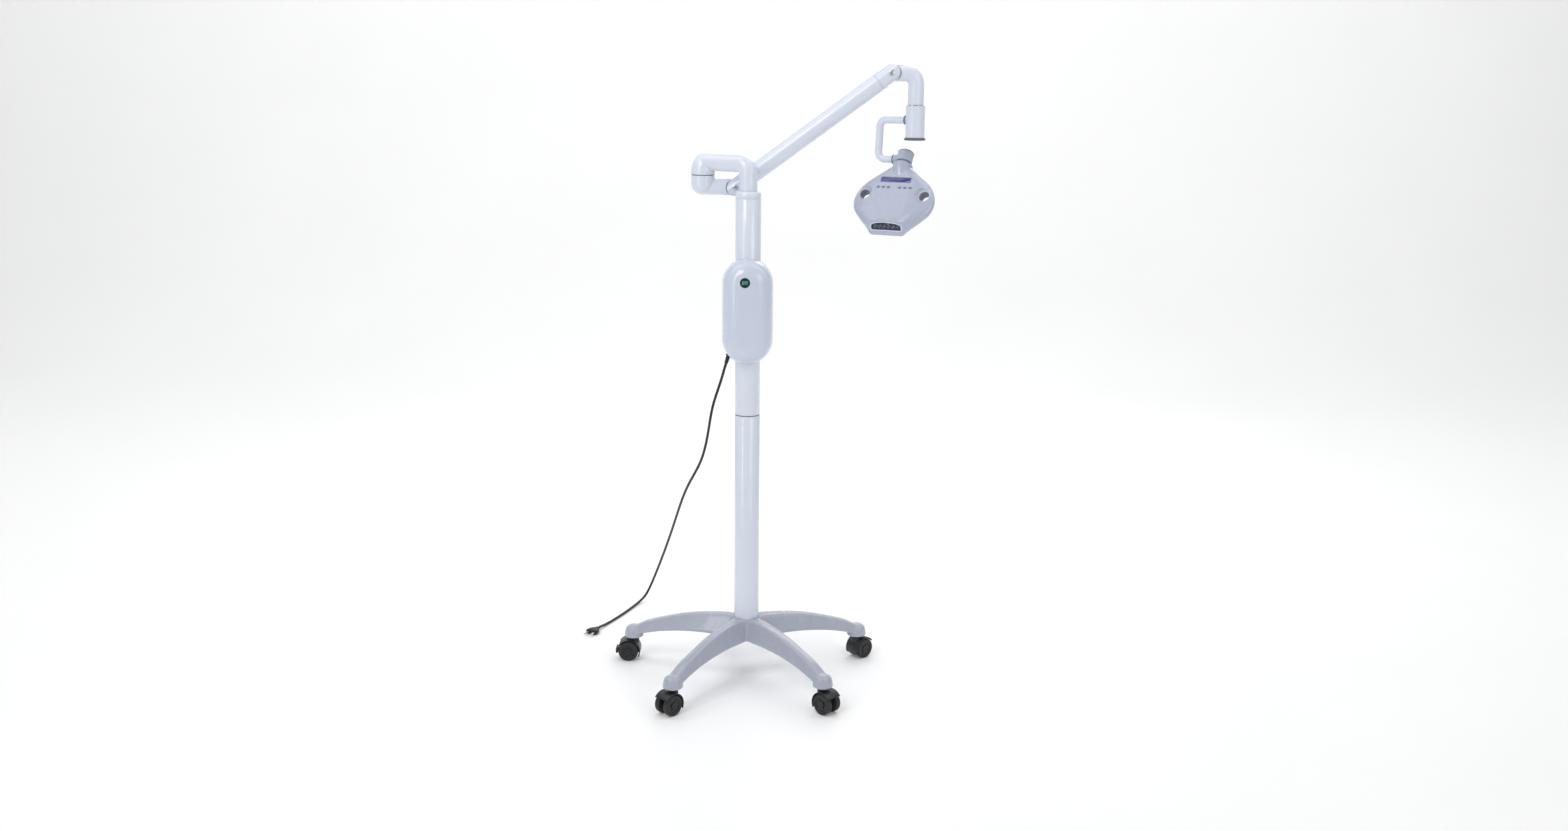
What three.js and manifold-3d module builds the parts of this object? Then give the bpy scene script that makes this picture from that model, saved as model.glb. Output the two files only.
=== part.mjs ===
// Mobile dental whitening lamp on a five-castor stand.
// Units: millimetres. +Z up, the panel and power switch face -Y, the lamp head hangs towards +X.
import * as THREE from 'three';
import { mergeVertices } from 'three/addons/utils/BufferGeometryUtils.js';
import Module from 'manifold-3d';

const wasm = await Module();
wasm.setup();

// ---------------------------------------------------------------- driving dimensions
const GAP = 0.3;                       // clearance kept between separate pieces
const FRAME_X = 49.137;                 // column axis sits this far left of the frame origin
const FRAME_Y = 24.442;                 // column axis sits this far in front of the frame origin

const STEM_CIRCLE_R = 297.8;           // radius of the circle through the castor stems
const BASE_TURN = 2.504;               // star rotation about the column, degrees
const ARM_ANGLES = [-108, -36, 36, 108, 180];   // from the -Y direction, towards +X
const SOCKET_R = 24;                   // arm end socket
const SOCKET_Z = 62;                   // underside of the arm ends
const HUB_TOP_Z = 147;

const COLUMN_R = 30.25, COLUMN_BORE_R = 27.5, COLUMN_FACETS = 22;
const COLUMN_FOOT_Z = 106;
const COLUMN_SEAM_Z = 660.7;
const COLUMN_TOP_Z = 1175.7;
const CAP_TOP_Z = 1192;

const WHEEL_R = 25, WHEEL_FACETS = 14, WHEEL_W = 14, WHEEL_IN = 7.4;
const CASTOR_TRAIL = 14;
const CASTOR_TURNS = [180, 227, -45, 42, 83];   // trail heading of each castor, degrees from +X

const BOX_W = 120, BOX_H = 250, BOX_Z = 913.5;  // power box: width, height, centre height
const BOX_FRONT = 75, BOX_BACK = 38.5;          // reach in front of and behind the column axis
const BOX_SPLIT_Y = -8;
const SWITCH_X = -5, SWITCH_Z = 987, SWITCH_R = 11.5;

const NECK_R = 21, ARM_A_R = 20;
const ARM_A_Z = 1254.5;
const SWIVEL_X = -108.8, SWIVEL_Y = 58;
const BARREL_R = 28;
const SWIVEL_SEAM_Z = 1225.2;
const ARM_B_Z = 1197, ARM_B_R = 18.9;

const PIVOT_LO = [-32, 58, 1197];
const PIVOT_HI = [329.7, 58, 1463.3];
const BOOM_R = 21, BOOM_BORE_R = 18, FORK_LEN = 36;
const KNUCKLE_R = 20, KNUCKLE_CUT_R = 22, TONGUE_R = 18.6;
const PIN_R = 3.6, LINK_OFFSET = 10;

const DISTAL_X = 388, DISTAL_Y = 58;
const ELBOW_R = 18.9;
const DISTAL_SEAM_Z = 1390;
const DISTAL_R = 22.65, DISTAL_END_Z = 1315.5;

const YOKE_TURN = 26.4;                // yoke plane, degrees behind the -X direction
const YOKE_R = 9;
const YOKE_TOP_Z = 1356, TILT_Z = 1264.2;
const TILT_RHO = 24.2;                 // tilt-joint neck centre, distance from the drop tube axis
const HEAD_TILT = 32.8;                // head axis from the vertical, degrees
const NECK_BARREL_R = 19.6;

const HEAD_SPLIT_H = -8;               // parting plane of the head shells
const HOLE_W = 74.5, HOLE_L = 98, HOLE_R = 12;
const PANEL_H = 18;

const CORD_R = 3.3, CORD_STEPS = 62;

// ---------------------------------------------------------------- helpers
const rad = d => d * Math.PI / 180;
const V = (x, y, z) => new THREE.Vector3(x, y, z);
const M = () => new THREE.Matrix4();

function cleaned(geometry) {
  let g = geometry.clone();
  for (const k of Object.keys(g.attributes)) if (k !== 'position') g.deleteAttribute(k);
  g = mergeVertices(g, 1e-4);
  const idx = g.index.array, out = [];
  for (let i = 0; i < idx.length; i += 3) {
    const [a, b, c] = [idx[i], idx[i + 1], idx[i + 2]];
    if (a !== b && b !== c && a !== c) out.push(a, b, c);
  }
  g.setIndex(out);
  return g;
}
function volumeOf(g) {
  const p = g.attributes.position, i = g.index.array;
  let v = 0;
  const a = V(), b = V(), c = V();
  for (let k = 0; k < i.length; k += 3) {
    a.fromBufferAttribute(p, i[k]); b.fromBufferAttribute(p, i[k + 1]); c.fromBufferAttribute(p, i[k + 2]);
    v += a.dot(b.clone().cross(c)) / 6;
  }
  return v;
}
function solid(geometry, matrix) {
  let g = cleaned(geometry);
  if (matrix) g.applyMatrix4(matrix);
  if (volumeOf(g) < 0) {
    const i = Array.from(g.index.array);
    for (let k = 0; k < i.length; k += 3) { const t = i[k + 1]; i[k + 1] = i[k + 2]; i[k + 2] = t; }
    g.setIndex(i);
  }
  return new wasm.Manifold(new wasm.Mesh({
    numProp: 3,
    vertProperties: new Float32Array(g.attributes.position.array),
    triVerts: new Uint32Array(g.index.array),
  }));
}
function geometryOf(m) {
  const mesh = m.getMesh();
  const g = new THREE.BufferGeometry();
  const n = mesh.numProp, count = mesh.vertProperties.length / n;
  const pos = new Float32Array(count * 3);
  for (let i = 0; i < count; i++) for (let k = 0; k < 3; k++) pos[3 * i + k] = mesh.vertProperties[n * i + k];
  g.setAttribute('position', new THREE.BufferAttribute(pos, 3));
  g.setIndex(Array.from(mesh.triVerts));
  return cleaned(g);
}
const union = (...s) => s.reduce((a, b) => a.add(b));
const cut = (a, ...s) => s.reduce((x, b) => x.subtract(b), a);

// matrix that places local x, y, z axes along the given directions
function basis(x, y, z, origin) {
  return M().makeBasis(x, y, z).setPosition(origin);
}
// a cylinder along local z from z0 to z1
function cyl(r, z0, z1, n = 28, matrix) {
  const g = new THREE.CylinderGeometry(r, r, z1 - z0, n);
  g.rotateX(Math.PI / 2); g.translate(0, 0, (z0 + z1) / 2);
  return solid(g, matrix);
}
function cone(r0, r1, z0, z1, n = 28, matrix) {
  const g = new THREE.CylinderGeometry(r1, r0, z1 - z0, n);
  g.rotateX(Math.PI / 2); g.translate(0, 0, (z0 + z1) / 2);
  return solid(g, matrix);
}
function box(x0, x1, y0, y1, z0, z1, matrix) {
  const g = new THREE.BoxGeometry(x1 - x0, y1 - y0, z1 - z0);
  g.translate((x0 + x1) / 2, (y0 + y1) / 2, (z0 + z1) / 2);
  return solid(g, matrix);
}
// body of revolution about z, profile as [r, z] pairs that start and end on the axis or close
function lathe(profile, n = 28, matrix, phase = 0) {
  const g = new THREE.LatheGeometry(profile.map(p => new THREE.Vector2(p[0], p[1])), n, phase);
  g.rotateX(Math.PI / 2);
  return solid(g, matrix);
}
function ring(ri, ro, z0, z1, n = 28, matrix) {
  return lathe([[ri, z0], [ro, z0], [ro, z1], [ri, z1], [ri, z0]], n, matrix);
}
// an outline of [x, y] pairs extruded from z0 to z1
function prism(outline, z0, z1, matrix) {
  const s = new THREE.Shape(outline.map(p => new THREE.Vector2(p[0], p[1])));
  const g = new THREE.ExtrudeGeometry(s, { depth: z1 - z0, bevelEnabled: false, steps: 1 });
  g.translate(0, 0, z0);
  return solid(g, matrix);
}
// closed skin through a row of equal-count sections, capped at both ends
function loft(sections, matrix) {
  const n = sections[0].length, pos = [], idx = [];
  for (const s of sections) for (const p of s) pos.push(p.x, p.y, p.z);
  for (let i = 0; i + 1 < sections.length; i++) for (let j = 0; j < n; j++) {
    const a = i * n + j, b = i * n + (j + 1) % n, c = a + n, d = b + n;
    idx.push(a, b, d, a, d, c);
  }
  for (const [row, flip] of [[0, true], [sections.length - 1, false]]) {
    const s = sections[row], m = V(0, 0, 0);
    for (const p of s) m.add(p);
    m.multiplyScalar(1 / n);
    const k = pos.length / 3; pos.push(m.x, m.y, m.z);
    for (let j = 0; j < n; j++) {
      const a = row * n + j, b = row * n + (j + 1) % n;
      if (flip) idx.push(k, b, a); else idx.push(k, a, b);
    }
  }
  const g = new THREE.BufferGeometry();
  g.setAttribute('position', new THREE.Float32BufferAttribute(pos, 3));
  g.setIndex(idx);
  return solid(g, matrix);
}
// round bar of changing radius along a path that stays in one vertical plane;
// stations are [distance, z, radius, heading of the tangent in the plane in degrees]
function bentBar(stations, dir, origin, n = 20) {
  const side = V(-dir.y, dir.x, 0), up = V(0, 0, 1);
  return loft(stations.map(([d, z, r, t]) => {
    const c = origin.clone().addScaledVector(dir, d).setZ(z);
    const across = dir.clone().multiplyScalar(-Math.sin(rad(t))).addScaledVector(up, Math.cos(rad(t)));
    return Array.from({ length: n }, (_, j) => {
      const a = 2 * Math.PI * (j + 0.5) / n;
      return c.clone().addScaledVector(side, r * Math.cos(a)).addScaledVector(across, r * Math.sin(a));
    });
  }));
}
// stations of a bend: centre line arc of radius R from heading t0 to heading t1
function arcStations(cx, cz, R, t0, t1, r0, r1, steps, sense) {
  return Array.from({ length: steps + 1 }, (_, i) => {
    const f = i / steps, t = t0 + (t1 - t0) * f;
    return [cx + sense * R * Math.sin(rad(t)), cz - sense * R * Math.cos(rad(t)), r0 + (r1 - r0) * f, t];
  });
}

const lamp = new THREE.Group();
lamp.name = 'whitening_lamp';
lamp.position.set(-FRAME_X, -FRAME_Y, 0);
const finishes = {
  gloss_white: { color: 0xd9deef, roughness: 0.22, metalness: 0.0 },
  base_white: { color: 0xc3c6dc, roughness: 0.3, metalness: 0.0 },
  head_white: { color: 0xbec4da, roughness: 0.28, metalness: 0.0 },
  box_white: { color: 0xcdd2e8, roughness: 0.2, metalness: 0.0 },
  black: { color: 0x15161b, roughness: 0.5, metalness: 0.0 },
  rubber: { color: 0x0d0d10, roughness: 0.62, metalness: 0.0 },
  dark_ring: { color: 0x595d6b, roughness: 0.45, metalness: 0.1 },
  steel: { color: 0xc9ccd2, roughness: 0.3, metalness: 1.0 },
  green: { color: 0x1d7c68, roughness: 0.25, metalness: 0.0 },
  lcd: { color: 0x1b2274, roughness: 0.15, metalness: 0.0 },
  button: { color: 0x6e7488, roughness: 0.45, metalness: 0.0 },
  smoke: { color: 0x3d4256, roughness: 0.1, metalness: 0.0 },
  board: { color: 0x1e5a3c, roughness: 0.6, metalness: 0.0 },
  chrome: { color: 0xd8dade, roughness: 0.12, metalness: 1.0 },
};
function put(name, shape, finish, parent = lamp) {
  const mesh = new THREE.Mesh(geometryOf(shape), new THREE.MeshStandardMaterial({ ...finishes[finish] }));
  mesh.name = name;
  parent.add(mesh);
  return mesh;
}

// ---------------------------------------------------------------- five-arm base
const armHeading = i => rad(ARM_ANGLES[i] + BASE_TURN);
const armDir = i => V(Math.sin(armHeading(i)), -Math.cos(armHeading(i)), 0);
function armSection(r, top, bottom, halfTop, halfBottom) {
  const sh = Math.min(7, (top - bottom) * 0.3);
  const pts = [
    [-halfBottom, bottom], [halfBottom, bottom], [halfBottom, bottom + sh * 0.8],
    [halfTop + 1, top - 1.8], [0, top], [-halfTop - 1, top - 1.8], [-halfBottom, bottom + sh * 0.8]];
  return pts.map(([y, z]) => V(r, y, z));
}
let star = lathe([[0, 99], [46, 99], [49, 106], [40, 138], [36, HUB_TOP_Z], [0, HUB_TOP_Z]], 20);
for (let i = 0; i < 5; i++) {
  const d = armDir(i), m = basis(d, V(-d.y, d.x, 0), V(0, 0, 1), V(0, 0, 0));
  const arm = loft([
    armSection(14, 149, 99, 15, 34), armSection(60, 149.5, 100, 12, 31), armSection(110, 145.5, 100.5, 10, 28),
    armSection(165, 136.5, 97, 9, 25), armSection(220, 121.5, 89, 8.5, 22.5), armSection(262, 107.5, 79, 8.5, 21.2),
    armSection(304, 88, 67, 7, 18)], m);
  const socket = lathe([[0, SOCKET_Z], [SOCKET_R, SOCKET_Z], [SOCKET_R - 0.6, SOCKET_Z + 9],
    [SOCKET_R - 4, SOCKET_Z + 22], [0, SOCKET_Z + 30]], 12,
    M().makeTranslation(d.x * STEM_CIRCLE_R, d.y * STEM_CIRCLE_R, 0));
  star = union(star, arm, socket);
}
star = cut(star, cyl(COLUMN_R + 0.35, COLUMN_FOOT_Z - GAP, 200, COLUMN_FACETS));
for (let i = 0; i < 5; i++) {
  const d = armDir(i);
  star = cut(star, cyl(6.2, 50, SOCKET_Z + 22, 8, M().makeTranslation(d.x * STEM_CIRCLE_R, d.y * STEM_CIRCLE_R, 0)));
}
put('base_star', star, 'base_white');

// ---------------------------------------------------------------- column
put('column_lower_tube', ring(COLUMN_BORE_R, COLUMN_R, COLUMN_FOOT_Z, COLUMN_SEAM_Z - 1.0, COLUMN_FACETS), 'gloss_white');
put('column_joint_spigot', lathe([[0, 610], [COLUMN_BORE_R - 0.4, 610], [COLUMN_BORE_R - 0.4, COLUMN_SEAM_Z - 0.7],
  [COLUMN_R - 0.7, COLUMN_SEAM_Z - 0.7], [COLUMN_R - 0.7, COLUMN_SEAM_Z + 0.7], [COLUMN_BORE_R - 0.4, COLUMN_SEAM_Z + 0.7],
  [COLUMN_BORE_R - 0.4, 711], [0, 711]], COLUMN_FACETS), 'dark_ring');
put('column_upper_tube', ring(COLUMN_BORE_R, COLUMN_R, COLUMN_SEAM_Z + 1.0, COLUMN_TOP_Z, COLUMN_FACETS), 'gloss_white');
put('column_top_cap', lathe([[0, 1140], [COLUMN_BORE_R - 0.4, 1140], [COLUMN_BORE_R - 0.4, COLUMN_TOP_Z + 0.3],
  [COLUMN_R, COLUMN_TOP_Z + 0.3], [COLUMN_R, 1184], [28.6, 1190], [25, CAP_TOP_Z], [NECK_R + 0.5, CAP_TOP_Z],
  [NECK_R + 0.5, 1146], [0, 1146]], COLUMN_FACETS), 'gloss_white');

// ---------------------------------------------------------------- castors
// castor frame: swivel axis is z, the wheels trail along +x, the floor is z = 0
function wheelAt(y0, sign) {
  const k = 1 / Math.cos(Math.PI / WHEEL_FACETS);
  const prof = [[3.5, 0], [WHEEL_R * k, 0], [WHEEL_R * k, WHEEL_W - 2.4], [22.6 * k, WHEEL_W],
    [3.5, WHEEL_W - 0.8], [3.5, 0]];
  // profile height becomes distance outward along the axle
  const ax = V(0, sign, 0);
  const m = basis(V(1, 0, 0), V(0, 0, -sign), ax, V(CASTOR_TRAIL, sign * WHEEL_IN, WHEEL_R));
  return lathe(prof, WHEEL_FACETS, m, Math.PI / WHEEL_FACETS);
}
function sectorOutline(r0, r1, a0, a1, steps, cx, cz) {
  const out = [], inn = [];
  for (let i = 0; i <= steps; i++) {
    const a = rad(a0 + (a1 - a0) * i / steps);
    out.push([cx + r1 * Math.cos(a), cz + r1 * Math.sin(a)]);
    inn.push([cx + r0 * Math.cos(a), cz + r0 * Math.sin(a)]);
  }
  return out.concat(inn.reverse());
}
const XZ = basis(V(1, 0, 0), V(0, 0, 1), V(0, -1, 0), V(0, 0, 0));   // outline x, y -> x, z; depth -> -y
function castorHousing() {
  const hood = prism(sectorOutline(27, 29.6, 38, 205, 6, CASTOR_TRAIL, WHEEL_R), -20.5, 20.5, XZ);
  const webOutline = [];
  for (let i = 0; i <= 4; i++) { const t = rad(50 + 143 * i / 4); webOutline.push([CASTOR_TRAIL + 28 * Math.cos(t), WHEEL_R + 28 * Math.sin(t)]); }
  for (let i = 0; i <= 3; i++) { const t = rad(228 + 150 * i / 3); webOutline.push([CASTOR_TRAIL + 8.5 * Math.cos(t), WHEEL_R + 8.5 * Math.sin(t)]); }
  const web = prism(webOutline, -6.6, 6.6, XZ);
  const collar = cone(13, 11, 44, SOCKET_Z - 0.4, 10);
  const stem = cyl(5.4, 50, SOCKET_Z + 21, 8);
  const axle = cyl(2.9, -(WHEEL_IN + WHEEL_W - 1.2), WHEEL_IN + WHEEL_W - 1.2, 8,
    basis(V(1, 0, 0), V(0, 0, 1), V(0, -1, 0), V(CASTOR_TRAIL, 0, WHEEL_R)));
  return union(hood, web, cut(collar, cyl(26.6, -30, 30, 16, basis(V(1, 0, 0), V(0, 0, 1), V(0, -1, 0), V(CASTOR_TRAIL, 0, WHEEL_R)))), stem, axle);
}
const castorNames = ['left', 'front_left', 'front_right', 'right', 'back'];
for (let i = 0; i < 5; i++) {
  const d = armDir(i), g = new THREE.Group();
  g.position.set(d.x * STEM_CIRCLE_R, d.y * STEM_CIRCLE_R, 0);
  g.rotation.z = rad(CASTOR_TURNS[i]);
  const housing = castorHousing();
  put(`castor_${castorNames[i]}_housing`, housing, 'black', g);
  put(`castor_${castorNames[i]}_wheel_a`, wheelAt(0, -1), 'rubber', g);
  put(`castor_${castorNames[i]}_wheel_b`, wheelAt(0, 1), 'rubber', g);
  if (i === 0) {
    // pedal that turns about the axle, between the wheels and behind them
    const arm = prism(sectorOutline(9.5, 28, -12, 15, 3, CASTOR_TRAIL, WHEEL_R), -6.2, 6.2, XZ);
    const pad = prism(sectorOutline(27, 32.5, -12, 13, 2, CASTOR_TRAIL, WHEEL_R), -12.5, 12.5, XZ);
    put('castor_left_brake_lever', union(arm, pad), 'black', g);
  }
  lamp.add(g);
}

// ---------------------------------------------------------------- power box
// upright capsule outline, scaled about its centre line at each depth
function capsule(halfW, halfH, n = 6) {
  const out = [];
  const r = halfW, s = halfH - r;
  for (let i = 0; i <= n; i++) { const a = Math.PI * i / n; out.push([r * Math.cos(a), s + r * Math.sin(a)]); }
  for (let i = 0; i <= n; i++) { const a = Math.PI + Math.PI * i / n; out.push([r * Math.cos(a), -s + r * Math.sin(a)]); }
  return out;
}
function boxSkin(levels, inset) {
  return loft(levels.map(([y, off]) => capsule(BOX_W / 2 - off - inset, BOX_H / 2 - off - inset)
    .map(([x, z]) => V(x, y, BOX_Z + z))));
}
const frontLevels = [[BOX_SPLIT_Y, 0.6], [-28, 0], [-45, 2.8], [-58, 9], [-68, 20], [-BOX_FRONT, 40]];
const backLevels = [[BOX_SPLIT_Y + GAP, 0.6], [14, 3], [29, 9], [BOX_BACK, 24]];
let boxFront = boxSkin(frontLevels, 0);
boxFront = cut(boxFront, boxSkin([[BOX_SPLIT_Y + 1, 0.6], [-28, 0], [-43.5, 2.8], [-55.5, 9], [-65, 20], [-71.4, 38]], 3.2));
let boxBack = boxSkin(backLevels, 0);
boxBack = cut(boxBack, boxSkin([[BOX_SPLIT_Y - 1, 0.6], [14, 3], [26.6, 9], [35.3, 22.5]], 3.2));
const pole = cyl(COLUMN_R + 0.4, 700, 1120, COLUMN_FACETS);
const switchSeatY = -66.5;
const switchM = basis(V(1, 0, 0), V(0, 0, 1), V(0, -1, 0), V(SWITCH_X, 0, SWITCH_Z));   // local z -> -y
boxFront = union(boxFront, cut(cyl(SWITCH_R + 2.2, 60, -switchSeatY + 5.2, 20, switchM)));
boxFront = cut(boxFront, cyl(SWITCH_R + 0.4, 50, 90, 20, switchM), pole);
boxBack = cut(boxBack, pole);
const glandDir = V(-0.28, 0, -0.96).normalize();
const glandTop = V(-45.8, 6, 803);
const glandM = basis(V(0, 1, 0), V(0, 0, 1).cross(glandDir).normalize().cross(glandDir).negate().normalize(), glandDir, glandTop);
const gx = V(0, 1, 0), gz = glandDir, gy = gz.clone().cross(gx).normalize();
const glandFrame = basis(gx, gy, gz, glandTop);
boxBack = cut(boxBack, cyl(6.4, -30, 40, 10, glandFrame));
put('box_front_cover', boxFront, 'box_white');
put('box_back_cover', boxBack, 'box_white');
put('power_supply_module', box(-38, 38, -55, -35, 838, 950), 'board');
put('switch_bezel', cut(lathe([[0, 48], [SWITCH_R - 1.4, 48], [SWITCH_R - 1.4, 58], [SWITCH_R, 58], [SWITCH_R, 72.6],
  [SWITCH_R - 0.8, 74], [0, 74]], 16, switchM), box(-7.3, 7.3, -5.2, 5.2, 50, 80, switchM)), 'black');
const rocker = cut(prism([[-3.4, 66], [3.4, 66], [4.3, 72], [4.3, 74.2], [0, 73.4], [-4.3, 75.6], [-4.3, 72]], -6.8, 6.8,
  basis(V(0, 0, 1), V(0, -1, 0), V(1, 0, 0), V(SWITCH_X, 0, SWITCH_Z))));
put('power_switch_rocker', rocker, 'green');
put('cord_gland', cone(5.7, 5.0, -9, 21, 10, glandFrame), 'black');

// ---------------------------------------------------------------- cord and plug
const cordPoints = [
  [-64, 14, 737.9], [-74.5, 20, 707], [-84.5, 31, 675.3], [-90.8, 44, 642.5], [-95.8, 60, 608.7], [-102.7, 82, 569.8],
  [-114, 112, 521.2], [-129.5, 138, 484.7], [-148.2, 168, 447.8], [-165.4, 203, 406.8], [-179.6, 241, 363.5], [-198.4, 301, 299],
  [-217.6, 359, 236.1], [-237.4, 412, 174.3], [-262.2, 466, 103.2], [-277.8, 489, 61.1], [-289, 499, 35], [-299, 500, 16],
  [-311.5, 490, 5.4], [-325.9, 454, 3.7], [-343.2, 405, 3.7], [-363.8, 357.5, 3.7], [-383.5, 314, 3.7]];
const plugAt = V(-404, 270.5, 7.3), plugDir = V(-0.424, -0.9055, 0).normalize();
const cordCurve = new THREE.CatmullRomCurve3([...[21.3, 30, 40].map(d => glandTop.clone().addScaledVector(glandDir, d)),
  ...cordPoints.map(p => V(...p)), ...[-15, -8, -0.3].map(d => plugAt.clone().addScaledVector(plugDir, d))], false, 'centripetal');
const cordSection = new THREE.Shape(Array.from({ length: 8 }, (_, i) =>
  new THREE.Vector2(CORD_R * Math.cos(rad(45 * i + 22.5)), CORD_R * Math.sin(rad(45 * i + 22.5)))));
put('power_cord', solid(new THREE.ExtrudeGeometry(cordSection, { steps: CORD_STEPS, bevelEnabled: false, extrudePath: cordCurve })), 'rubber');
const px = plugDir, py = V(-plugDir.y, plugDir.x, 0), plugM = basis(px, py, V(0, 0, 1), plugAt);
const plugSection = (x, hw, hh) => [[-hw, -hh * 0.45], [-hw * 0.72, -hh], [hw * 0.72, -hh], [hw, -hh * 0.45], [hw, hh * 0.45], [hw * 0.72, hh], [-hw * 0.72, hh], [-hw, hh * 0.45]]
  .map(([y, z]) => V(x, y, z));
let plug = loft([plugSection(0, 6, 5.2), plugSection(9, 7.2, 5.8), plugSection(14, 13, 6.5), plugSection(30, 17, 6.85), plugSection(34, 16.4, 6.4)], plugM);
const alongX = (y, z = 0) => basis(V(0, 0, 1), V(0, 1, 0), V(-1, 0, 0), V(0, y, z));
const pinM = y => plugM.clone().multiply(basis(V(0, 1, 0), V(0, 0, 1), V(1, 0, 0), V(0, y, 0)));
plug = cut(plug, cyl(2.6, 26, 40, 10, pinM(-9.3)), cyl(2.6, 26, 40, 10, pinM(9.3)));
put('plug_body', plug, 'rubber');
put('plug_pin_line', cyl(2.2, 26.3, 53, 10, pinM(-9.3)), 'steel');
put('plug_pin_neutral', cyl(2.2, 26.3, 53, 10, pinM(9.3)), 'steel');

// ---------------------------------------------------------------- gooseneck on the column top
const swivel = V(SWIVEL_X, SWIVEL_Y, 0);
const aLen = Math.hypot(SWIVEL_X, SWIVEL_Y), aDir = swivel.clone().multiplyScalar(1 / aLen);
const bendR = 22.5;
const neckAndArm = bentBar([[0, 1146.6, NECK_R, 90], [0, 1200, NECK_R, 90],
  ...arcStations(bendR, ARM_A_Z - bendR, bendR, 180, 90, NECK_R, ARM_A_R, 5, -1).map(([d, z, r, t], i) => {
    const f = rad(90 * i / 5);
    return [bendR - bendR * Math.cos(f), ARM_A_Z - bendR + bendR * Math.sin(f), r, 90 - 90 * i / 5];
  }),
  [aLen, ARM_A_Z, ARM_A_R, 0]], aDir, V(0, 0, 0), 20);
const atSwivel = M().makeTranslation(SWIVEL_X, SWIVEL_Y, 0);
const domeUp = [[0, SWIVEL_SEAM_Z + 0.9], [BARREL_R, SWIVEL_SEAM_Z + 0.9], [BARREL_R, 1232]];
for (let i = 1; i <= 3; i++) { const a = rad(90 * i / 4); domeUp.push([BARREL_R * Math.cos(a), 1232 + 41.5 * Math.sin(a)]); }
domeUp.push([0, 1273.5]);
put('gooseneck_arm', union(neckAndArm, lathe(domeUp, 20, atSwivel), cyl(12, 1194, 1240, 14, atSwivel),
  solid(new THREE.SphereGeometry(ARM_A_R, 14, 8), M().makeTranslation(SWIVEL_X, SWIVEL_Y, ARM_A_Z))), 'gloss_white');
put('swivel_washer', ring(12.4, BARREL_R - 0.8, SWIVEL_SEAM_Z - 0.6, SWIVEL_SEAM_Z + 0.6, 20, atSwivel), 'dark_ring');

// ---------------------------------------------------------------- knuckle pieces
// knuckle frame: x along the bar away from the pivot, y along the pivot pin, z square to both
const tongueOutline = [[-26, -TONGUE_R], [0, -TONGUE_R], ...Array.from({ length: 7 }, (_, i) => {
  const a = rad(-90 + 180 * (i + 1) / 8); return [TONGUE_R * Math.cos(a), TONGUE_R * Math.sin(a)];
}), [0, TONGUE_R], [-26, TONGUE_R]];
const XtoY = m => m.clone().multiply(basis(V(1, 0, 0), V(0, 0, 1), V(0, -1, 0), V(0, 0, 0)));  // outline in x-z, depth along -y
function tongue(m) {
  return cut(prism(tongueOutline, -2, 9, XtoY(m)), cyl(PIN_R + 0.45, -3, 10, 10, XtoY(m)));
}
function linkStud(pivot) {
  return cyl(2.2, -8.4, -1, 8, basis(V(1, 0, 0), V(0, 0, 1), V(0, -1, 0), V(pivot[0], pivot[1], pivot[2] + LINK_OFFSET)));
}
function knuckleCut(pivot) {
  const m = basis(V(1, 0, 0), V(0, 0, 1), V(0, -1, 0), V(...pivot));
  return union(cyl(KNUCKLE_CUT_R, -30, -2.0, 22, m), cyl(KNUCKLE_CUT_R, 9.0, 30, 22, m));
}

// ---------------------------------------------------------------- lower swivel elbow
const domeDown = [[0, SWIVEL_SEAM_Z - 0.9], [BARREL_R, SWIVEL_SEAM_Z - 0.9], [BARREL_R, 1204]];
for (let i = 1; i <= 3; i++) { const a = rad(90 * i / 4); domeDown.push([BARREL_R * Math.cos(a), 1204 - 25.8 * Math.sin(a)]); }
domeDown.push([0, 1178.2]);
const along = (dir, at) => { const x = V(0, 0, 1).cross(dir).normalize(); return basis(x, dir.clone().cross(x), dir, at); };
const X = V(1, 0, 0);
let elbowB = union(lathe(domeDown, 20, atSwivel), solid(new THREE.SphereGeometry(ARM_B_R, 14, 8), M().makeTranslation(SWIVEL_X, SWIVEL_Y, ARM_B_Z)));
let barB = cyl(ARM_B_R, 0, PIVOT_LO[0] - SWIVEL_X - 4, 20, along(X, V(SWIVEL_X, SWIVEL_Y, ARM_B_Z)));
barB = cut(barB, knuckleCut(PIVOT_LO), cyl(KNUCKLE_CUT_R, -3, 10, 22, basis(V(1, 0, 0), V(0, 0, 1), V(0, -1, 0), V(...PIVOT_LO))));
elbowB = union(elbowB, barB, tongue(basis(V(1, 0, 0), V(0, 1, 0), V(0, 0, 1), V(...PIVOT_LO))), linkStud(PIVOT_LO));
elbowB = cut(elbowB, cyl(12.5, 1192, 1240, 14, atSwivel));
put('swivel_elbow', elbowB, 'gloss_white');

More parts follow.
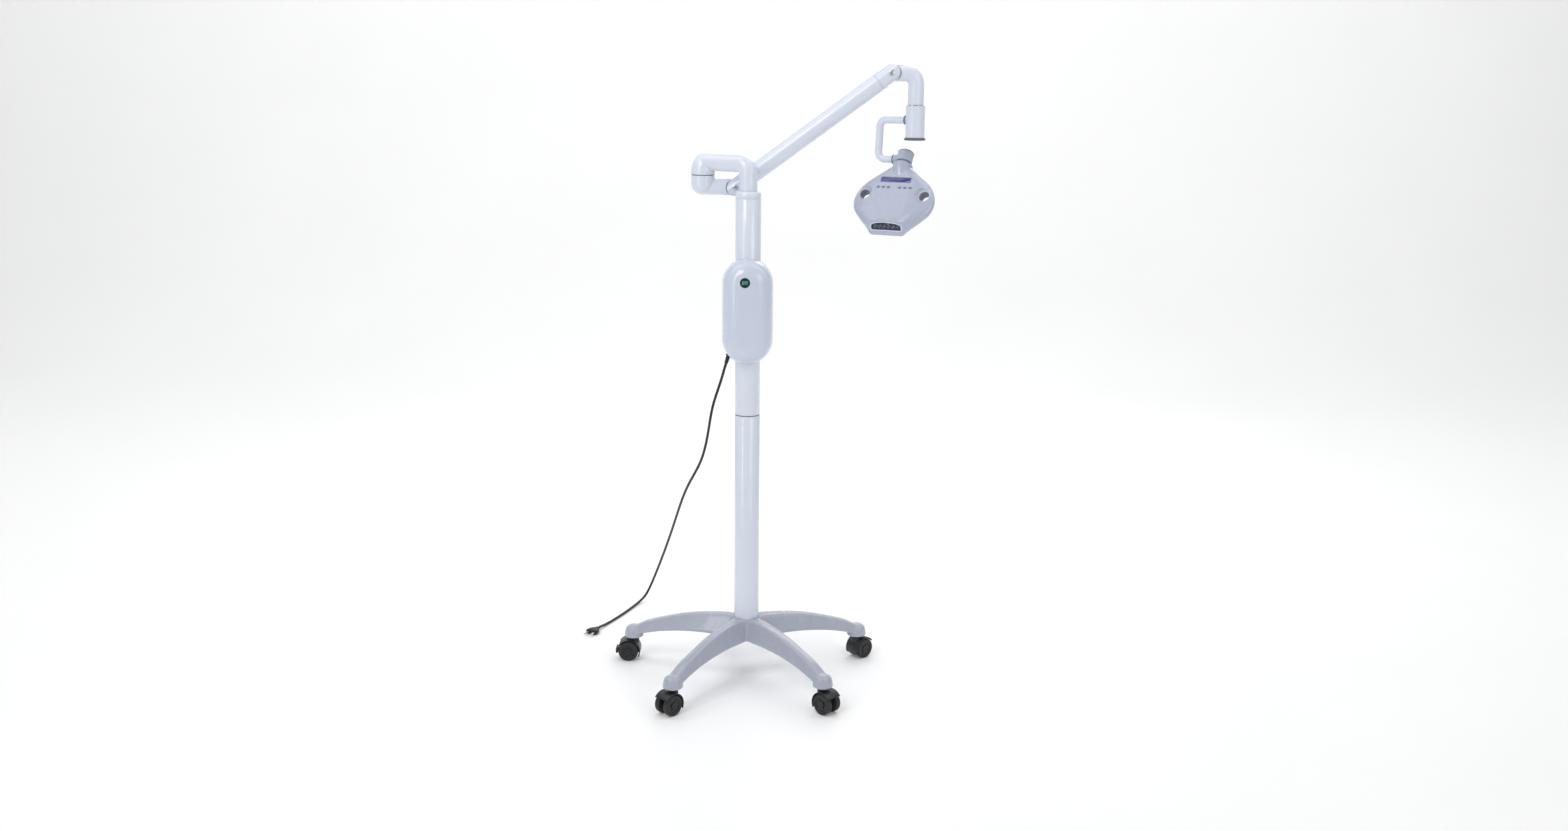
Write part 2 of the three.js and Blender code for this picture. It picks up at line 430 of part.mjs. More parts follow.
// ---------------------------------------------------------------- boom
const pLo = V(...PIVOT_LO), pHi = V(...PIVOT_HI);
const boomLen = pLo.distanceTo(pHi), boomDir = pHi.clone().sub(pLo).normalize();
const boomUp = V(-boomDir.z, 0, boomDir.x);
const forkOutline = [];
for (let i = 0; i <= 8; i++) { const a = rad(90 + 180 * i / 8); forkOutline.push([KNUCKLE_R * Math.cos(a), KNUCKLE_R * Math.sin(a)]); }
forkOutline.push([12, -BOOM_R - 0.5], [62, -BOOM_R - 0.5], [62, BOOM_R + 0.5], [12, BOOM_R + 0.5]);
function fork(m, linkSide) {
  const xf = m.clone().multiply(basis(V(0, 1, 0), V(0, 0, 1), V(1, 0, 0), V(0, 0, 0)));    // local z of cylinder -> knuckle x
  const yf = XtoY(m);
  let f = union(cyl(BOOM_R, -24, FORK_LEN, 20, xf), cyl(BOOM_BORE_R - 0.4, FORK_LEN - 1, 60, 20, xf));
  f = f.intersect(prism(forkOutline, -30, 30, yf));
  f = cut(f, box(-40, 24, -9.3, 9.3, -40, 40, m), cyl(PIN_R + 0.4, -40, 40, 10, yf),
    cyl(7.4, 19.9, 40, 12, yf), cyl(7.4, -40, -19.9, 12, yf),
    linkSide > 0 ? box(20, 70, 2.4, 8.8, 3.0, 13.6, m) : box(20, 70, 2.4, 8.8, -13.6, -3.0, m));
  return f;
}
const loM = basis(boomDir, V(0, 1, 0), boomUp, pLo);
const hiM = basis(boomDir.clone().negate(), V(0, 1, 0), boomUp.clone().negate(), pHi);
put('boom_fork_lower', fork(loM, 1), 'gloss_white');
put('boom_tube', ring(BOOM_BORE_R, BOOM_R, FORK_LEN + 0.4, boomLen - FORK_LEN - 0.4, 20, along(boomDir, pLo)), 'gloss_white');
put('boom_fork_upper', fork(hiM, -1), 'gloss_white');
const pinProfile = [[0, -21.8], [6.4, -21.6], [6.4, -20.2], [PIN_R, -20.2], [PIN_R, 20.2], [6.4, 20.2], [6.4, 21.6], [0, 21.8]];
put('boom_pin_lower', lathe(pinProfile, 12, basis(V(1, 0, 0), V(0, 0, 1), V(0, -1, 0), pLo)), 'steel');
put('boom_pin_upper', lathe(pinProfile, 12, basis(V(1, 0, 0), V(0, 0, 1), V(0, -1, 0), pHi)), 'steel');
const linkM = basis(boomDir, V(0, 1, 0), boomUp, pLo.clone().add(V(0, 0, LINK_OFFSET)));
const eye = x => cyl(4.8, -7.9, -3, 12, XtoY(linkM.clone().multiply(M().makeTranslation(x, 0, 0))));
const eyeHole = x => cyl(2.65, -12, 0, 8, XtoY(linkM.clone().multiply(M().makeTranslation(x, 0, 0))));
put('levelling_link_rod', cut(union(box(0, boomLen, 3, 7.9, -2.2, 2.2, linkM), eye(0), eye(boomLen)), eyeHole(0), eyeHole(boomLen)), 'steel');

// ---------------------------------------------------------------- distal elbow and drop tube
const hiAxis = V(...PIVOT_HI);
const dropBend = 26;
let elbowD = bentBar([[PIVOT_HI[0] + 4, PIVOT_HI[2], ELBOW_R, 0],
  ...Array.from({ length: 6 }, (_, i) => { const a = rad(90 * i / 5); return [DISTAL_X - dropBend + dropBend * Math.sin(a), PIVOT_HI[2] - dropBend + dropBend * Math.cos(a), ELBOW_R, -90 * i / 5]; }),
  [DISTAL_X, DISTAL_SEAM_Z + 0.9, ELBOW_R, -90]], V(1, 0, 0), V(0, DISTAL_Y, 0), 20);
const drop = M().makeTranslation(DISTAL_X, DISTAL_Y, 0);
elbowD = cut(elbowD, cyl(KNUCKLE_CUT_R, -30, 30, 22, basis(V(1, 0, 0), V(0, 0, 1), V(0, -1, 0), hiAxis)));
elbowD = union(elbowD, tongue(basis(V(-1, 0, 0), V(0, 1, 0), V(0, 0, -1), hiAxis)), linkStud(PIVOT_HI), cyl(12, 1373, 1400, 14, drop));
put('drop_elbow', elbowD, 'gloss_white');
put('drop_swivel_ring', ring(12.4, DISTAL_R - 0.5, DISTAL_SEAM_Z - 0.6, DISTAL_SEAM_Z + 0.6, 20, drop), 'chrome');
const yokeDir = V(-Math.cos(rad(YOKE_TURN)), Math.sin(rad(YOKE_TURN)), 0);
const dropAxis = V(DISTAL_X, DISTAL_Y, 0);
const yokeAt = (rho, z) => dropAxis.clone().addScaledVector(yokeDir, rho).setZ(z);
let dropTube = lathe([[0, 1338], [18.9, 1338], [18.9, DISTAL_END_Z + 0.6], [DISTAL_R, DISTAL_END_Z + 0.6], [DISTAL_R, DISTAL_SEAM_Z - 0.9],
  [12.5, DISTAL_SEAM_Z - 0.9], [12.5, 1372], [0, 1372]], 20, drop);
dropTube = cut(dropTube, cyl(YOKE_R + 0.6, 6, 40, 14, along(yokeDir, yokeAt(0, YOKE_TOP_Z))));
put('drop_tube', dropTube, 'gloss_white');
put('drop_end_cap', lathe([[0, 1310], [24.4, 1309.6], [25.3, 1311], [25.3, 1313.4], [DISTAL_R, DISTAL_END_Z + 0.2], [18.5, DISTAL_END_Z + 0.2],
  [18.5, 1331], [0, 1331]], 20, drop), 'dark_ring');

// ---------------------------------------------------------------- yoke
const yokeBend = 17, lowRho = 91.2, topRho = 88.6;
const slant = Math.atan2(lowRho - topRho, (YOKE_TOP_Z - yokeBend) - (TILT_Z + yokeBend)) * 180 / Math.PI;
const yokeStations = [[7, YOKE_TOP_Z, YOKE_R, 0]];
for (let i = 0; i <= 4; i++) {
  const t = -(90 - slant) * i / 4;
  yokeStations.push([topRho - yokeBend - yokeBend * Math.sin(rad(t)), YOKE_TOP_Z - yokeBend + yokeBend * Math.cos(rad(t)), YOKE_R, t]);
}
for (let i = 0; i <= 4; i++) {
  const t = -(90 - slant) - (90 + slant) * i / 4;
  yokeStations.push([lowRho - yokeBend - yokeBend * Math.sin(rad(t)), TILT_Z + yokeBend + yokeBend * Math.cos(rad(t)), YOKE_R, t]);
}
yokeStations.push([34, TILT_Z, YOKE_R, -180]);
put('yoke_tube', bentBar(yokeStations, yokeDir, dropAxis.clone(), 14), 'gloss_white');
put('yoke_upper_collar', ring(YOKE_R + 0.55, 10.9, 23.1, 25.7, 14, along(yokeDir, yokeAt(0, YOKE_TOP_Z))), 'dark_ring');
put('yoke_lower_collar', ring(YOKE_R + 0.55, 11.3, 50.6, 53.2, 14, along(yokeDir, yokeAt(0, TILT_Z))), 'dark_ring');

// ---------------------------------------------------------------- lamp head
// head frame: origin on the tilt axis, x across the head, y from the nose to the neck, z out of the control panel
const head = new THREE.Group();
const be = rad(YOKE_TURN), al = rad(HEAD_TILT);
const noseDir = V(-Math.sin(al) * Math.sin(be), -Math.sin(al) * Math.cos(be), -Math.cos(al));
const acrossDir = V(Math.cos(be), -Math.sin(be), 0);
const panelDir = noseDir.clone().cross(acrossDir).normalize();
head.applyMatrix4(basis(acrossDir, noseDir.clone().negate(), panelDir, yokeAt(TILT_RHO, TILT_Z)));
lamp.add(head);

const alongY = M().makeBasis(V(1, 0, 0), V(0, 0, -1), V(0, 1, 0));       // local z -> head y
const alongMinusX = M().makeBasis(V(0, 1, 0), V(0, 0, -1), V(-1, 0, 0)); // local z -> head -x
let barrel = union(lathe([[0, -27], [NECK_BARREL_R - 6, -27], [NECK_BARREL_R - 5, -9], [NECK_BARREL_R, -7.5], [NECK_BARREL_R, 16.5],
  [NECK_BARREL_R - 2.5, 20], [0, 21.6]], 20, alongY), cyl(11.6, 10, 50.2 - TILT_RHO, 16, alongMinusX));
barrel = cut(barrel, cyl(YOKE_R + 0.6, 9.2, 40, 14, alongMinusX));
put('tilt_neck_barrel', barrel, 'head_white', head);

const half = [[0, 14.5], [20, 20], [49, 42], [79, 66], [95, 89], [100.5, 114], [94, 138],
  [76, 159.5], [52, 182.5], [40, 197.4]];
const outline = half.concat( half.slice(1).reverse().map(([w, l]) => [-w, l]));
const CL = 105;
const smooth = (a, b, x) => { const t = Math.min(1, Math.max(0, (x - a) / (b - a))); return t * t * (3 - 2 * t); };
function pillow(levels, inset, thin) {
  return loft(levels.map(([s, h]) => outline.map(([w, l]) => {
    const dw = w, dl = l - CL, k = Math.hypot(dw, dl), q = Math.max(0, s - inset / k);
    const x = dw * q, y = CL + dl * q;
    return V(x, -y, h > 0 ? h * (1 - thin * smooth(35, 98, Math.abs(x))) : h);
  })));
}
const frontSkin = [[0.985, HEAD_SPLIT_H], [1.0, -1], [0.975, 6.5], [0.91, 13], [0.8, 16.8], [0.68, PANEL_H]];
const frontInner = [[0.99, HEAD_SPLIT_H - 2], [0.99, 1], [0.9, 10.8], [0.68, PANEL_H - 2.6]];
const backSkin = [[0.985, HEAD_SPLIT_H - GAP], [0.93, -17], [0.8, -24.2], [0.55, -28]];
const backInner = [[0.985, HEAD_SPLIT_H + 2], [0.93, -14.6], [0.8, -21.4], [0.55, -25.3]];
const THIN = 0.36;
let front = pillow(frontSkin, 0, THIN), back = pillow(backSkin, 0, 0);
const collarY = M().makeBasis(V(1, 0, 0), V(0, 0, -1), V(0, 1, 0));
const neckCollar = lathe([[0, -62], [15, -62], [22.4, -38], [23.6, -15], [0, -15]], 20, collarY);
front = union(front, neckCollar.intersect(box(-40, 40, -80, 0, HEAD_SPLIT_H, 40)));
back = union(back, neckCollar.intersect(box(-40, 40, -80, 0, -40, HEAD_SPLIT_H - GAP)));
let frontHollow = pillow(frontInner, 3, THIN), backHollow = pillow(backInner, 3, 0);
const neckBore = union(cyl(NECK_BARREL_R + 0.4, -32, 0, 20, alongY), lathe([[0, -56], [13, -56], [18.8, -32], [0, -32]], 20, alongY));
const bosses = s => union(cyl(15.4, -60, 60, 12, M().makeTranslation(s * HOLE_W, -HOLE_L, 0)));
frontHollow = cut(frontHollow, bosses(1), bosses(-1));
backHollow = cut(backHollow, bosses(1), bosses(-1));
front = cut(front, frontHollow, neckBore);
back = cut(back, backHollow, neckBore);
for (const s of [-1, 1]) {
  const at = M().makeTranslation(s * HOLE_W, -HOLE_L, 0);
  const hole = union(cyl(HOLE_R, -60, 60, 16, at), cone(HOLE_R, HOLE_R + 8, 5, 16, 16, at), cone(HOLE_R + 7, HOLE_R, -31, -20, 16, at));
  front = cut(front, hole); back = cut(back, hole);
}
// slanted nose face, square to the light's direction
const NOSE = 189.7;
const n45 = Math.SQRT1_2;
const noseM = basis(V(1, 0, 0), V(0, n45, n45), V(0, -n45, n45), V(0, -(NOSE - 7), 7));   // x across, y up the slope, z outwards
const beyondNose = box(-120, 120, -60, 60, 0, 80, noseM);
front = cut(front, beyondNose);
back = cut(back, beyondNose);
// solid nose rim behind the slanted face, then the window opening
const rimOutline = (hw, lo, hi, inset) => {
  const pts = [[-hw + inset, lo + inset], [hw - inset, lo + inset]];
  for (let i = 0; i <= 7; i++) { const a = Math.PI * i / 7; pts.push([(hw - inset) * Math.cos(a), 2 + (hi - 2 - inset) * Math.sin(a)]); }
  return pts;
};
const rimBlock = box(-46, 46, -15, 15, -5.5, -0.01, noseM).intersect(pillow(frontSkin, 0.6, THIN));
front = union(front, rimBlock);
front = cut(front, prism(rimOutline(39.6, -9.6, 12.4, 0), -2.6, 5, noseM), prism(rimOutline(36.5, -7.4, 10.2, 0), -20, 5, noseM));
// panel pockets
front = cut(front, box(-38.2, 38.2, -71.2, -56.8, PANEL_H - 1.7, PANEL_H + 5));
const buttonX = [-40, -27, -14, 14, 27, 40], BUTTON_Y = -84;
for (const x of buttonX) front = cut(front, box(x - 4.1, x + 4.1, BUTTON_Y - 2.4, BUTTON_Y + 2.4, PANEL_H - 8, PANEL_H + 5));
put('head_front_shell', front, 'head_white', head);
put('head_back_shell', back, 'head_white', head);
put('lcd_window', box(-37.9, 37.9, -70.9, -57.1, PANEL_H - 1.4, PANEL_H + 0.1), 'lcd', head);
const keyNames = ['power', 'start', 'pause', 'time_down', 'time_up', 'mode'];
buttonX.forEach((x, i) => put(`key_${keyNames[i]}`, box(x - 3.75, x + 3.75, BUTTON_Y - 2.05, BUTTON_Y + 2.05, PANEL_H - 4, PANEL_H + 1.0), 'button', head));
put('control_board', box(-43, 43, -96, -70, PANEL_H - 7.4, PANEL_H - 5.8), 'board', head);
put('light_window', prism(rimOutline(39.3, -9.3, 12.1, 0), -2.3, -0.1, noseM), 'smoke', head);
let leds = box(-33, 33, -5.6, 5.6, -10.5, -8.6, noseM);
for (let i = 0; i < 6; i++) {
  const m = noseM.clone().multiply(M().makeTranslation(-27.5 + 11 * i, 0, 0));
  leds = union(leds, lathe([[0, -9.4], [3.0, -9.4], [5.0, -4.2], [0, -7.2]], 8, m));
}
put('led_reflector_board', leds, 'chrome', head);

export default lamp;
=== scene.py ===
import bpy, bmesh, math
import numpy as np
from mathutils import Vector, Matrix


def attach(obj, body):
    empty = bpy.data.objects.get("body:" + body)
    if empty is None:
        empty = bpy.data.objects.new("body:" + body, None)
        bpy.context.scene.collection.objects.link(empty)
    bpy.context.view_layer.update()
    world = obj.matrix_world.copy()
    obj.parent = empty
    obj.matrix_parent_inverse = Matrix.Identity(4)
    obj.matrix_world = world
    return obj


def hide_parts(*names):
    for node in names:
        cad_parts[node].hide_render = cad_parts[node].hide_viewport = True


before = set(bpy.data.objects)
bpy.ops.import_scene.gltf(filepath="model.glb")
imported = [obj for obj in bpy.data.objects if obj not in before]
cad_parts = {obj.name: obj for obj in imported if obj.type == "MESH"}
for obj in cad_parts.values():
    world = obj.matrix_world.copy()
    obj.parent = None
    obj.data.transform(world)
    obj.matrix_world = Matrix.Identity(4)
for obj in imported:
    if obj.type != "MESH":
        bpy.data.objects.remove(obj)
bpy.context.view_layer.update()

FX, FY = 49.137, 24.442            # column axis in the frame, mm
rad, sin, cos, pi = math.radians, math.sin, math.cos, math.pi
V = Vector


def S(p):
    """stand millimetres (column axis, floor) to metres in the frame"""
    return V(((p[0] - FX) / 1000, (p[1] - FY) / 1000, p[2] / 1000))


def basis(x, y, z, o):
    x, y, z, o = V(x), V(y), V(z), V(o)
    return Matrix(((x.x, y.x, z.x, o.x), (x.y, y.y, z.y, o.y), (x.z, y.z, z.z, o.z), (0, 0, 0, 1)))


def T(x, y, z):
    return Matrix.Translation((x, y, z))


I4 = Matrix.Identity(4)

# ------------------------------------------------------------------ camera
cam = bpy.data.cameras.new("camera")
cam_ob = bpy.data.objects.new("camera", cam)
bpy.context.scene.collection.objects.link(cam_ob)
pit, rol = 0.223469, 0.0104297
fwd = V((0, cos(pit), -sin(pit)))
rt = V((1, 0, 0))
up = V((0, sin(pit), cos(pit)))
r2, u2 = rt * cos(rol) + up * sin(rol), up * cos(rol) - rt * sin(rol)
cam_ob.matrix_world = basis(r2, u2, -fwd, S((88.19, -3507.27, 1454.76)))
cam.sensor_fit = 'HORIZONTAL'
cam.sensor_width = 36.0
cam.lens = 1495.34 / 1568 * 36.0
cam.clip_start, cam.clip_end = 0.05, 60
bpy.context.scene.camera = cam_ob

# ------------------------------------------------------------------ materials
def mat(name, color, rough, metal=0.0, vary=0.03, scale=14.0, bump=0.02, bscale=260.0, coat=0.0, rvary=0.06,
        warm=None, spec=0.5, stretch=None, trans=0.0, ior=1.48, edge=0.0, emit=None):
    m = bpy.data.materials.new(name)
    m.use_nodes = True
    nt = m.node_tree
    b = nt.nodes["Principled BSDF"]
    b.inputs["Metallic"].default_value = metal
    b.inputs["Coat Weight"].default_value = coat
    b.inputs["Coat Roughness"].default_value = 0.06
    b.inputs["Specular IOR Level"].default_value = spec
    b.inputs["Transmission Weight"].default_value = trans
    b.inputs["IOR"].default_value = ior
    tc = nt.nodes.new("ShaderNodeTexCoord")
    mp = nt.nodes.new("ShaderNodeMapping")
    mp.inputs["Scale"].default_value = stretch or (1, 1, 1)
    nt.links.new(tc.outputs["Object"], mp.inputs["Vector"])
    n1 = nt.nodes.new("ShaderNodeTexNoise")
    n1.inputs["Scale"].default_value = scale
    n1.inputs["Detail"].default_value = 5
    nt.links.new(mp.outputs["Vector"], n1.inputs["Vector"])
    cr = nt.nodes.new("ShaderNodeValToRGB")
    c = V(color)
    w = V(warm) if warm else c
    cr.color_ramp.elements[0].position, cr.color_ramp.elements[1].position = 0.3, 0.7
    cr.color_ramp.elements[0].color = (*[max(0, v * (1 - vary)) for v in w], 1)
    cr.color_ramp.elements[1].color = (*[min(1, v * (1 + vary)) for v in c], 1)
    nt.links.new(n1.outputs["Fac"], cr.inputs["Fac"])
    col = cr.outputs["Color"]
    if edge:
        # slightly paler, rubbed colour where the surface turns
        geo = nt.nodes.new("ShaderNodeNewGeometry")
        ramp = nt.nodes.new("ShaderNodeMapRange")
        ramp.inputs["From Min"].default_value, ramp.inputs["From Max"].default_value = 0.5, 0.62
        nt.links.new(geo.outputs["Pointiness"], ramp.inputs["Value"])
        mul = nt.nodes.new("ShaderNodeMath"); mul.operation = 'MULTIPLY'; mul.inputs[1].default_value = edge
        nt.links.new(ramp.outputs["Result"], mul.inputs[0])
        mx = nt.nodes.new("ShaderNodeMix"); mx.data_type = 'RGBA'
        nt.links.new(mul.outputs[0], mx.inputs["Factor"])
        nt.links.new(col, mx.inputs[6]); mx.inputs[7].default_value = (*[min(1, v * 1.6 + 0.05) for v in color], 1)
        col = mx.outputs[2]
    nt.links.new(col, b.inputs["Base Color"])
    n2 = nt.nodes.new("ShaderNodeTexNoise")
    n2.inputs["Scale"].default_value = bscale
    n2.inputs["Detail"].default_value = 4
    nt.links.new(mp.outputs["Vector"], n2.inputs["Vector"])
    n3 = nt.nodes.new("ShaderNodeTexNoise")
    n3.inputs["Scale"].default_value = scale * 2.6
    n3.inputs["Detail"].default_value = 6
    nt.links.new(mp.outputs["Vector"], n3.inputs["Vector"])
    mr = nt.nodes.new("ShaderNodeMapRange")
    mr.inputs["From Min"].default_value, mr.inputs["From Max"].default_value = 0.3, 0.7
    mr.inputs["To Min"].default_value, mr.inputs["To Max"].default_value = max(0.02, rough - rvary), rough + rvary
    nt.links.new(n3.outputs["Fac"], mr.inputs["Value"])
    nt.links.new(mr.outputs["Result"], b.inputs["Roughness"])
    if bump:
        bp = nt.nodes.new("ShaderNodeBump")
        bp.inputs["Strength"].default_value = bump
        bp.inputs["Distance"].default_value = 0.001
        nt.links.new(n2.outputs["Fac"], bp.inputs["Height"])
        nt.links.new(bp.outputs["Normal"], b.inputs["Normal"])
    if emit:
        b.inputs["Emission Color"].default_value = (*emit[:3], 1)
        b.inputs["Emission Strength"].default_value = emit[3]
    return m


MAT = {
    'paint': mat("gloss_white_paint", (0.70, 0.745, 0.84), 0.22, coat=0.45, vary=0.015, scale=9, bump=0.03, bscale=420, rvary=0.02),
    'base': mat("base_paint", (0.40, 0.42, 0.50), 0.27, coat=0.3, vary=0.018, scale=11, bump=0.04, bscale=520, edge=0.06, rvary=0.02),
    'shell': mat("head_moulding", (0.43, 0.47, 0.58), 0.27, coat=0.4, vary=0.015, scale=16, bump=0.04, bscale=600, rvary=0.02),
    'box': mat("box_moulding", (0.60, 0.65, 0.77), 0.22, coat=0.4, vary=0.015, scale=12, bump=0.04, bscale=560, rvary=0.02),
    'black': mat("black_moulding", (0.011, 0.012, 0.016), 0.38, vary=0.2, scale=40, bump=0.12, bscale=900, edge=0.3),
    'tyre': mat("tyre_rubber", (0.013, 0.013, 0.015), 0.6, vary=0.25, scale=60, bump=0.25, bscale=1300, edge=0.4),
    'cord': mat("cord_sheath", (0.012, 0.012, 0.014), 0.45, vary=0.25, scale=60, bump=0.15, bscale=900),
    'ring': mat("grey_ring", (0.12, 0.125, 0.16), 0.4, vary=0.1, scale=60, bump=0.08, bscale=700),
    'steel': mat("brushed_steel", (0.62, 0.63, 0.66), 0.28, metal=1.0, vary=0.06, scale=80, bump=0.1, bscale=900, stretch=(1, 1, 12)),
    'chrome': mat("polished_metal", (0.82, 0.83, 0.86), 0.10, metal=1.0, vary=0.03, scale=50, bump=0.01, rvary=0.04),
    'green': mat("green_lens", (0.015, 0.23, 0.17), 0.16, vary=0.2, scale=90, bump=0.05, bscale=500, coat=0.6, warm=(0.01, 0.15, 0.13),
                 emit=(0.02, 0.45, 0.33, 0.13)),
    'halo': mat("switch_surround", (0.80, 0.84, 0.93), 0.3, vary=0.03, scale=60, coat=0.3),
    'lcd': mat("display_glass", (0.035, 0.045, 0.25), 0.14, vary=0.25, scale=70, coat=0.7, bump=0.0, warm=(0.016, 0.018, 0.14)),
    'lcd_frame': mat("display_frame", (0.16, 0.18, 0.30), 0.35, vary=0.08, scale=60),
    'key': mat("key_moulding", (0.20, 0.22, 0.31), 0.42, vary=0.08, scale=120, bump=0.12, bscale=1200),
    'mark': mat("key_mark", (0.05, 0.05, 0.07), 0.5, vary=0.15, scale=150),
    'smoke': mat("smoked_window", (0.22, 0.24, 0.33), 0.08, vary=0.05, scale=40, trans=0.85, ior=1.3, bump=0.0, rvary=0.03),
    'pcb': mat("circuit_board", (0.02, 0.09, 0.05), 0.5, vary=0.3, scale=90, bump=0.2, bscale=500),
    # dark bore colour: painted shade for the shadowed inner walls of the finger holes
    'bore': mat("bore_painted_shade", (0.20, 0.21, 0.29), 0.4, vary=0.05, scale=30),
    'led': mat("led_chip", (0.9, 0.85, 0.5), 0.3, vary=0.1, scale=200, emit=(1.0, 0.93, 0.75, 0.6)),
    'rim': mat("window_rim", (0.72, 0.74, 0.86), 0.22, vary=0.02, scale=40, coat=0.4),
}

# ------------------------------------------------------------------ mesh helpers
def raw(verts, faces, M=None):
    """verts in stand mm (or local mm with M) -> bmesh in frame mm"""
    bm = bmesh.new()
    vs = [bm.verts.new(S(M @ V(v)) * 1000 if M is not None else S(v) * 1000) for v in verts]
    for f in faces:
        try:
            bm.faces.new([vs[i] for i in f])
        except ValueError:
            pass
    bmesh.ops.remove_doubles(bm, verts=bm.verts, dist=1e-4)
    bmesh.ops.recalc_face_normals(bm, faces=bm.faces)
    return bm


def finish(bm, name, m, body, rep=(), sharp=32, bevel=0.0, seg=2):
    bmesh.ops.scale(bm, vec=(0.001, 0.001, 0.001), verts=bm.verts)
    me = bpy.data.meshes.new(name)
    bm.to_mesh(me)
    bm.free()
    ob = bpy.data.objects.new(name, me)
    bpy.context.scene.collection.objects.link(ob)
    if bevel:
        md = ob.modifiers.new("bevel", 'BEVEL')
        md.width, md.segments, md.limit_method, md.angle_limit = bevel / 1000, seg, 'ANGLE', rad(35)
        md.use_clamp_overlap = True
        apply_mods(ob)
    shade(ob, sharp)
    ob.data.materials.append(MAT[m])
    if body:
        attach(ob, body)
    if rep:
        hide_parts(*([rep] if isinstance(rep, str) else rep))
    return ob


def apply_mods(ob):
    dg = bpy.context.evaluated_depsgraph_get()
    ev = ob.evaluated_get(dg)
    me = bpy.data.meshes.new_from_object(ev)
    old = ob.data
    ob.modifiers.clear()
    ob.data = me
    bpy.data.meshes.remove(old)


def shade(ob, sharp=32):
    me = ob.data
    me.polygons.foreach_set('use_smooth', [True] * len(me.polygons))
    me.set_sharp_from_angle(angle=rad(sharp))


def temp(bm):
    me = bpy.data.meshes.new("tmp")
    bm.to_mesh(me)
    bm.free()
    ob = bpy.data.objects.new("tmp", me)
    bpy.context.scene.collection.objects.link(ob)
    return ob


def combine(bm, ops):
    """joins and cuts: ops = [('UNION'|'DIFFERENCE'|'INTERSECT', bmesh)]"""
    a = temp(bm)
    for op, other in ops:
        b = temp(other)
        md = a.modifiers.new("b", 'BOOLEAN')
        md.operation, md.object, md.solver = op, b, 'MANIFOLD'
        apply_mods(a)
        if not a.data.polygons:
            print("EMPTY after", op)
        old = b.data
        bpy.data.objects.remove(b)
        bpy.data.meshes.remove(old)
    out = bmesh.new()
    out.from_mesh(a.data)
    old = a.data
    bpy.data.objects.remove(a)
    bpy.data.meshes.remove(old)
    return out


def loft(rings, M=None, caps=True, closed=False):
    n = len(rings[0])
    vs = [p for r in rings for p in r]
    fs = []
    for i in range(len(rings) - 1 + (1 if closed else 0)):
        a, b = i * n, ((i + 1) % len(rings)) * n
        fs += [(a + j, a + (j + 1) % n, b + (j + 1) % n, b + j) for j in range(n)]
    if caps and not closed:
        fs.append(tuple(range(n)))
        fs.append(tuple(range((len(rings) - 1) * n, len(rings) * n)))
    return raw(vs, fs, M)


def lathe(prof, seg=72, M=None):
    """profile of (radius, z); ends on the axis or closes on itself"""
    closed = prof[0] == prof[-1] and prof[0][0] > 1e-6
    pr = prof[:-1] if closed else prof
    rings = []
    for r, z in pr:
        rings.append([(r * cos(2 * pi * j / seg), r * sin(2 * pi * j / seg), z) for j in range(seg)])
    return loft(rings, M, caps=False, closed=closed)


def cyl(r, z0, z1, seg=48, M=None, r2=None):
    r2 = r if r2 is None else r2
    return lathe([(0, z0), (r, z0), (r2, z1), (0, z1)], seg, M)


def block(x0, x1, y0, y1, z0, z1, M=None):
    vs = [(x, y, z) for z in (z0, z1) for y in (y0, y1) for x in (x0, x1)]
    return raw(vs, [(0, 1, 3, 2), (4, 6, 7, 5), (0, 4, 5, 1), (2, 3, 7, 6), (0, 2, 6, 4), (1, 5, 7, 3)], M)


def prism(outline, z0, z1, M=None):
    return loft([[(x, y, z0) for x, y in outline], [(x, y, z1) for x, y in outline]], M)


def rounded(pts, r, n=6):
    """outline with its corners rounded to radius r (or a list of radii)"""
    out = []
    k = len(pts)
    for i in range(k):
        p, a, b = V(pts[i]).to_2d(), V(pts[i - 1]).to_2d(), V(pts[(i + 1) % k]).to_2d()
        ri = r[i] if isinstance(r, (list, tuple)) else r
        da, db = (a - p), (b - p)
        la, lb = da.length, db.length
        da.normalize(); db.normalize()
        ang = math.acos(max(-1, min(1, da.dot(db))))
        if ri <= 0 or ang > pi - 0.02:
            out.append((p.x, p.y)); continue
        t = min(ri / math.tan(ang / 2), la * 0.49, lb * 0.49)
        ri = t * math.tan(ang / 2)
        c = p + (da + db).normalized() * (ri / sin(ang / 2))
        s, e = p + da * t - c, p + db * t - c
        a0 = math.atan2(s.y, s.x); d = math.atan2(e.y, e.x) - a0
        while d > pi: d -= 2 * pi
        while d < -pi: d += 2 * pi
        for j in range(n + 1):
            q = a0 + d * j / n
            out.append((c.x + ri * cos(q), c.y + ri * sin(q)))
    return out


def resample(pts, n, closed=True):
    P = np.array(pts + ([pts[0]] if closed else []), float)
    d = np.r_[0, np.cumsum(np.linalg.norm(np.diff(P, axis=0), axis=1))]
    t = np.linspace(0, d[-1], n + (1 if closed else 0))[:n]
    return np.stack([np.interp(t, d, P[:, i]) for i in range(P.shape[1])], 1)


def catmull(pts, per=8):
    P = [V(p) for p in pts]
    P = [P[0] * 2 - P[1]] + P + [P[-1] * 2 - P[-2]]
    out = []
    for i in range(1, len(P) - 2):
        a, b, c, d = P[i - 1], P[i], P[i + 1], P[i + 2]
        for j in range(per):
            t = j / per
            out.append(0.5 * ((2 * b) + (c - a) * t + (2 * a - 5 * b + 4 * c - d) * t * t + (3 * b - a - 3 * c + d) * t ** 3))
    out.append(P[-2])
    return out


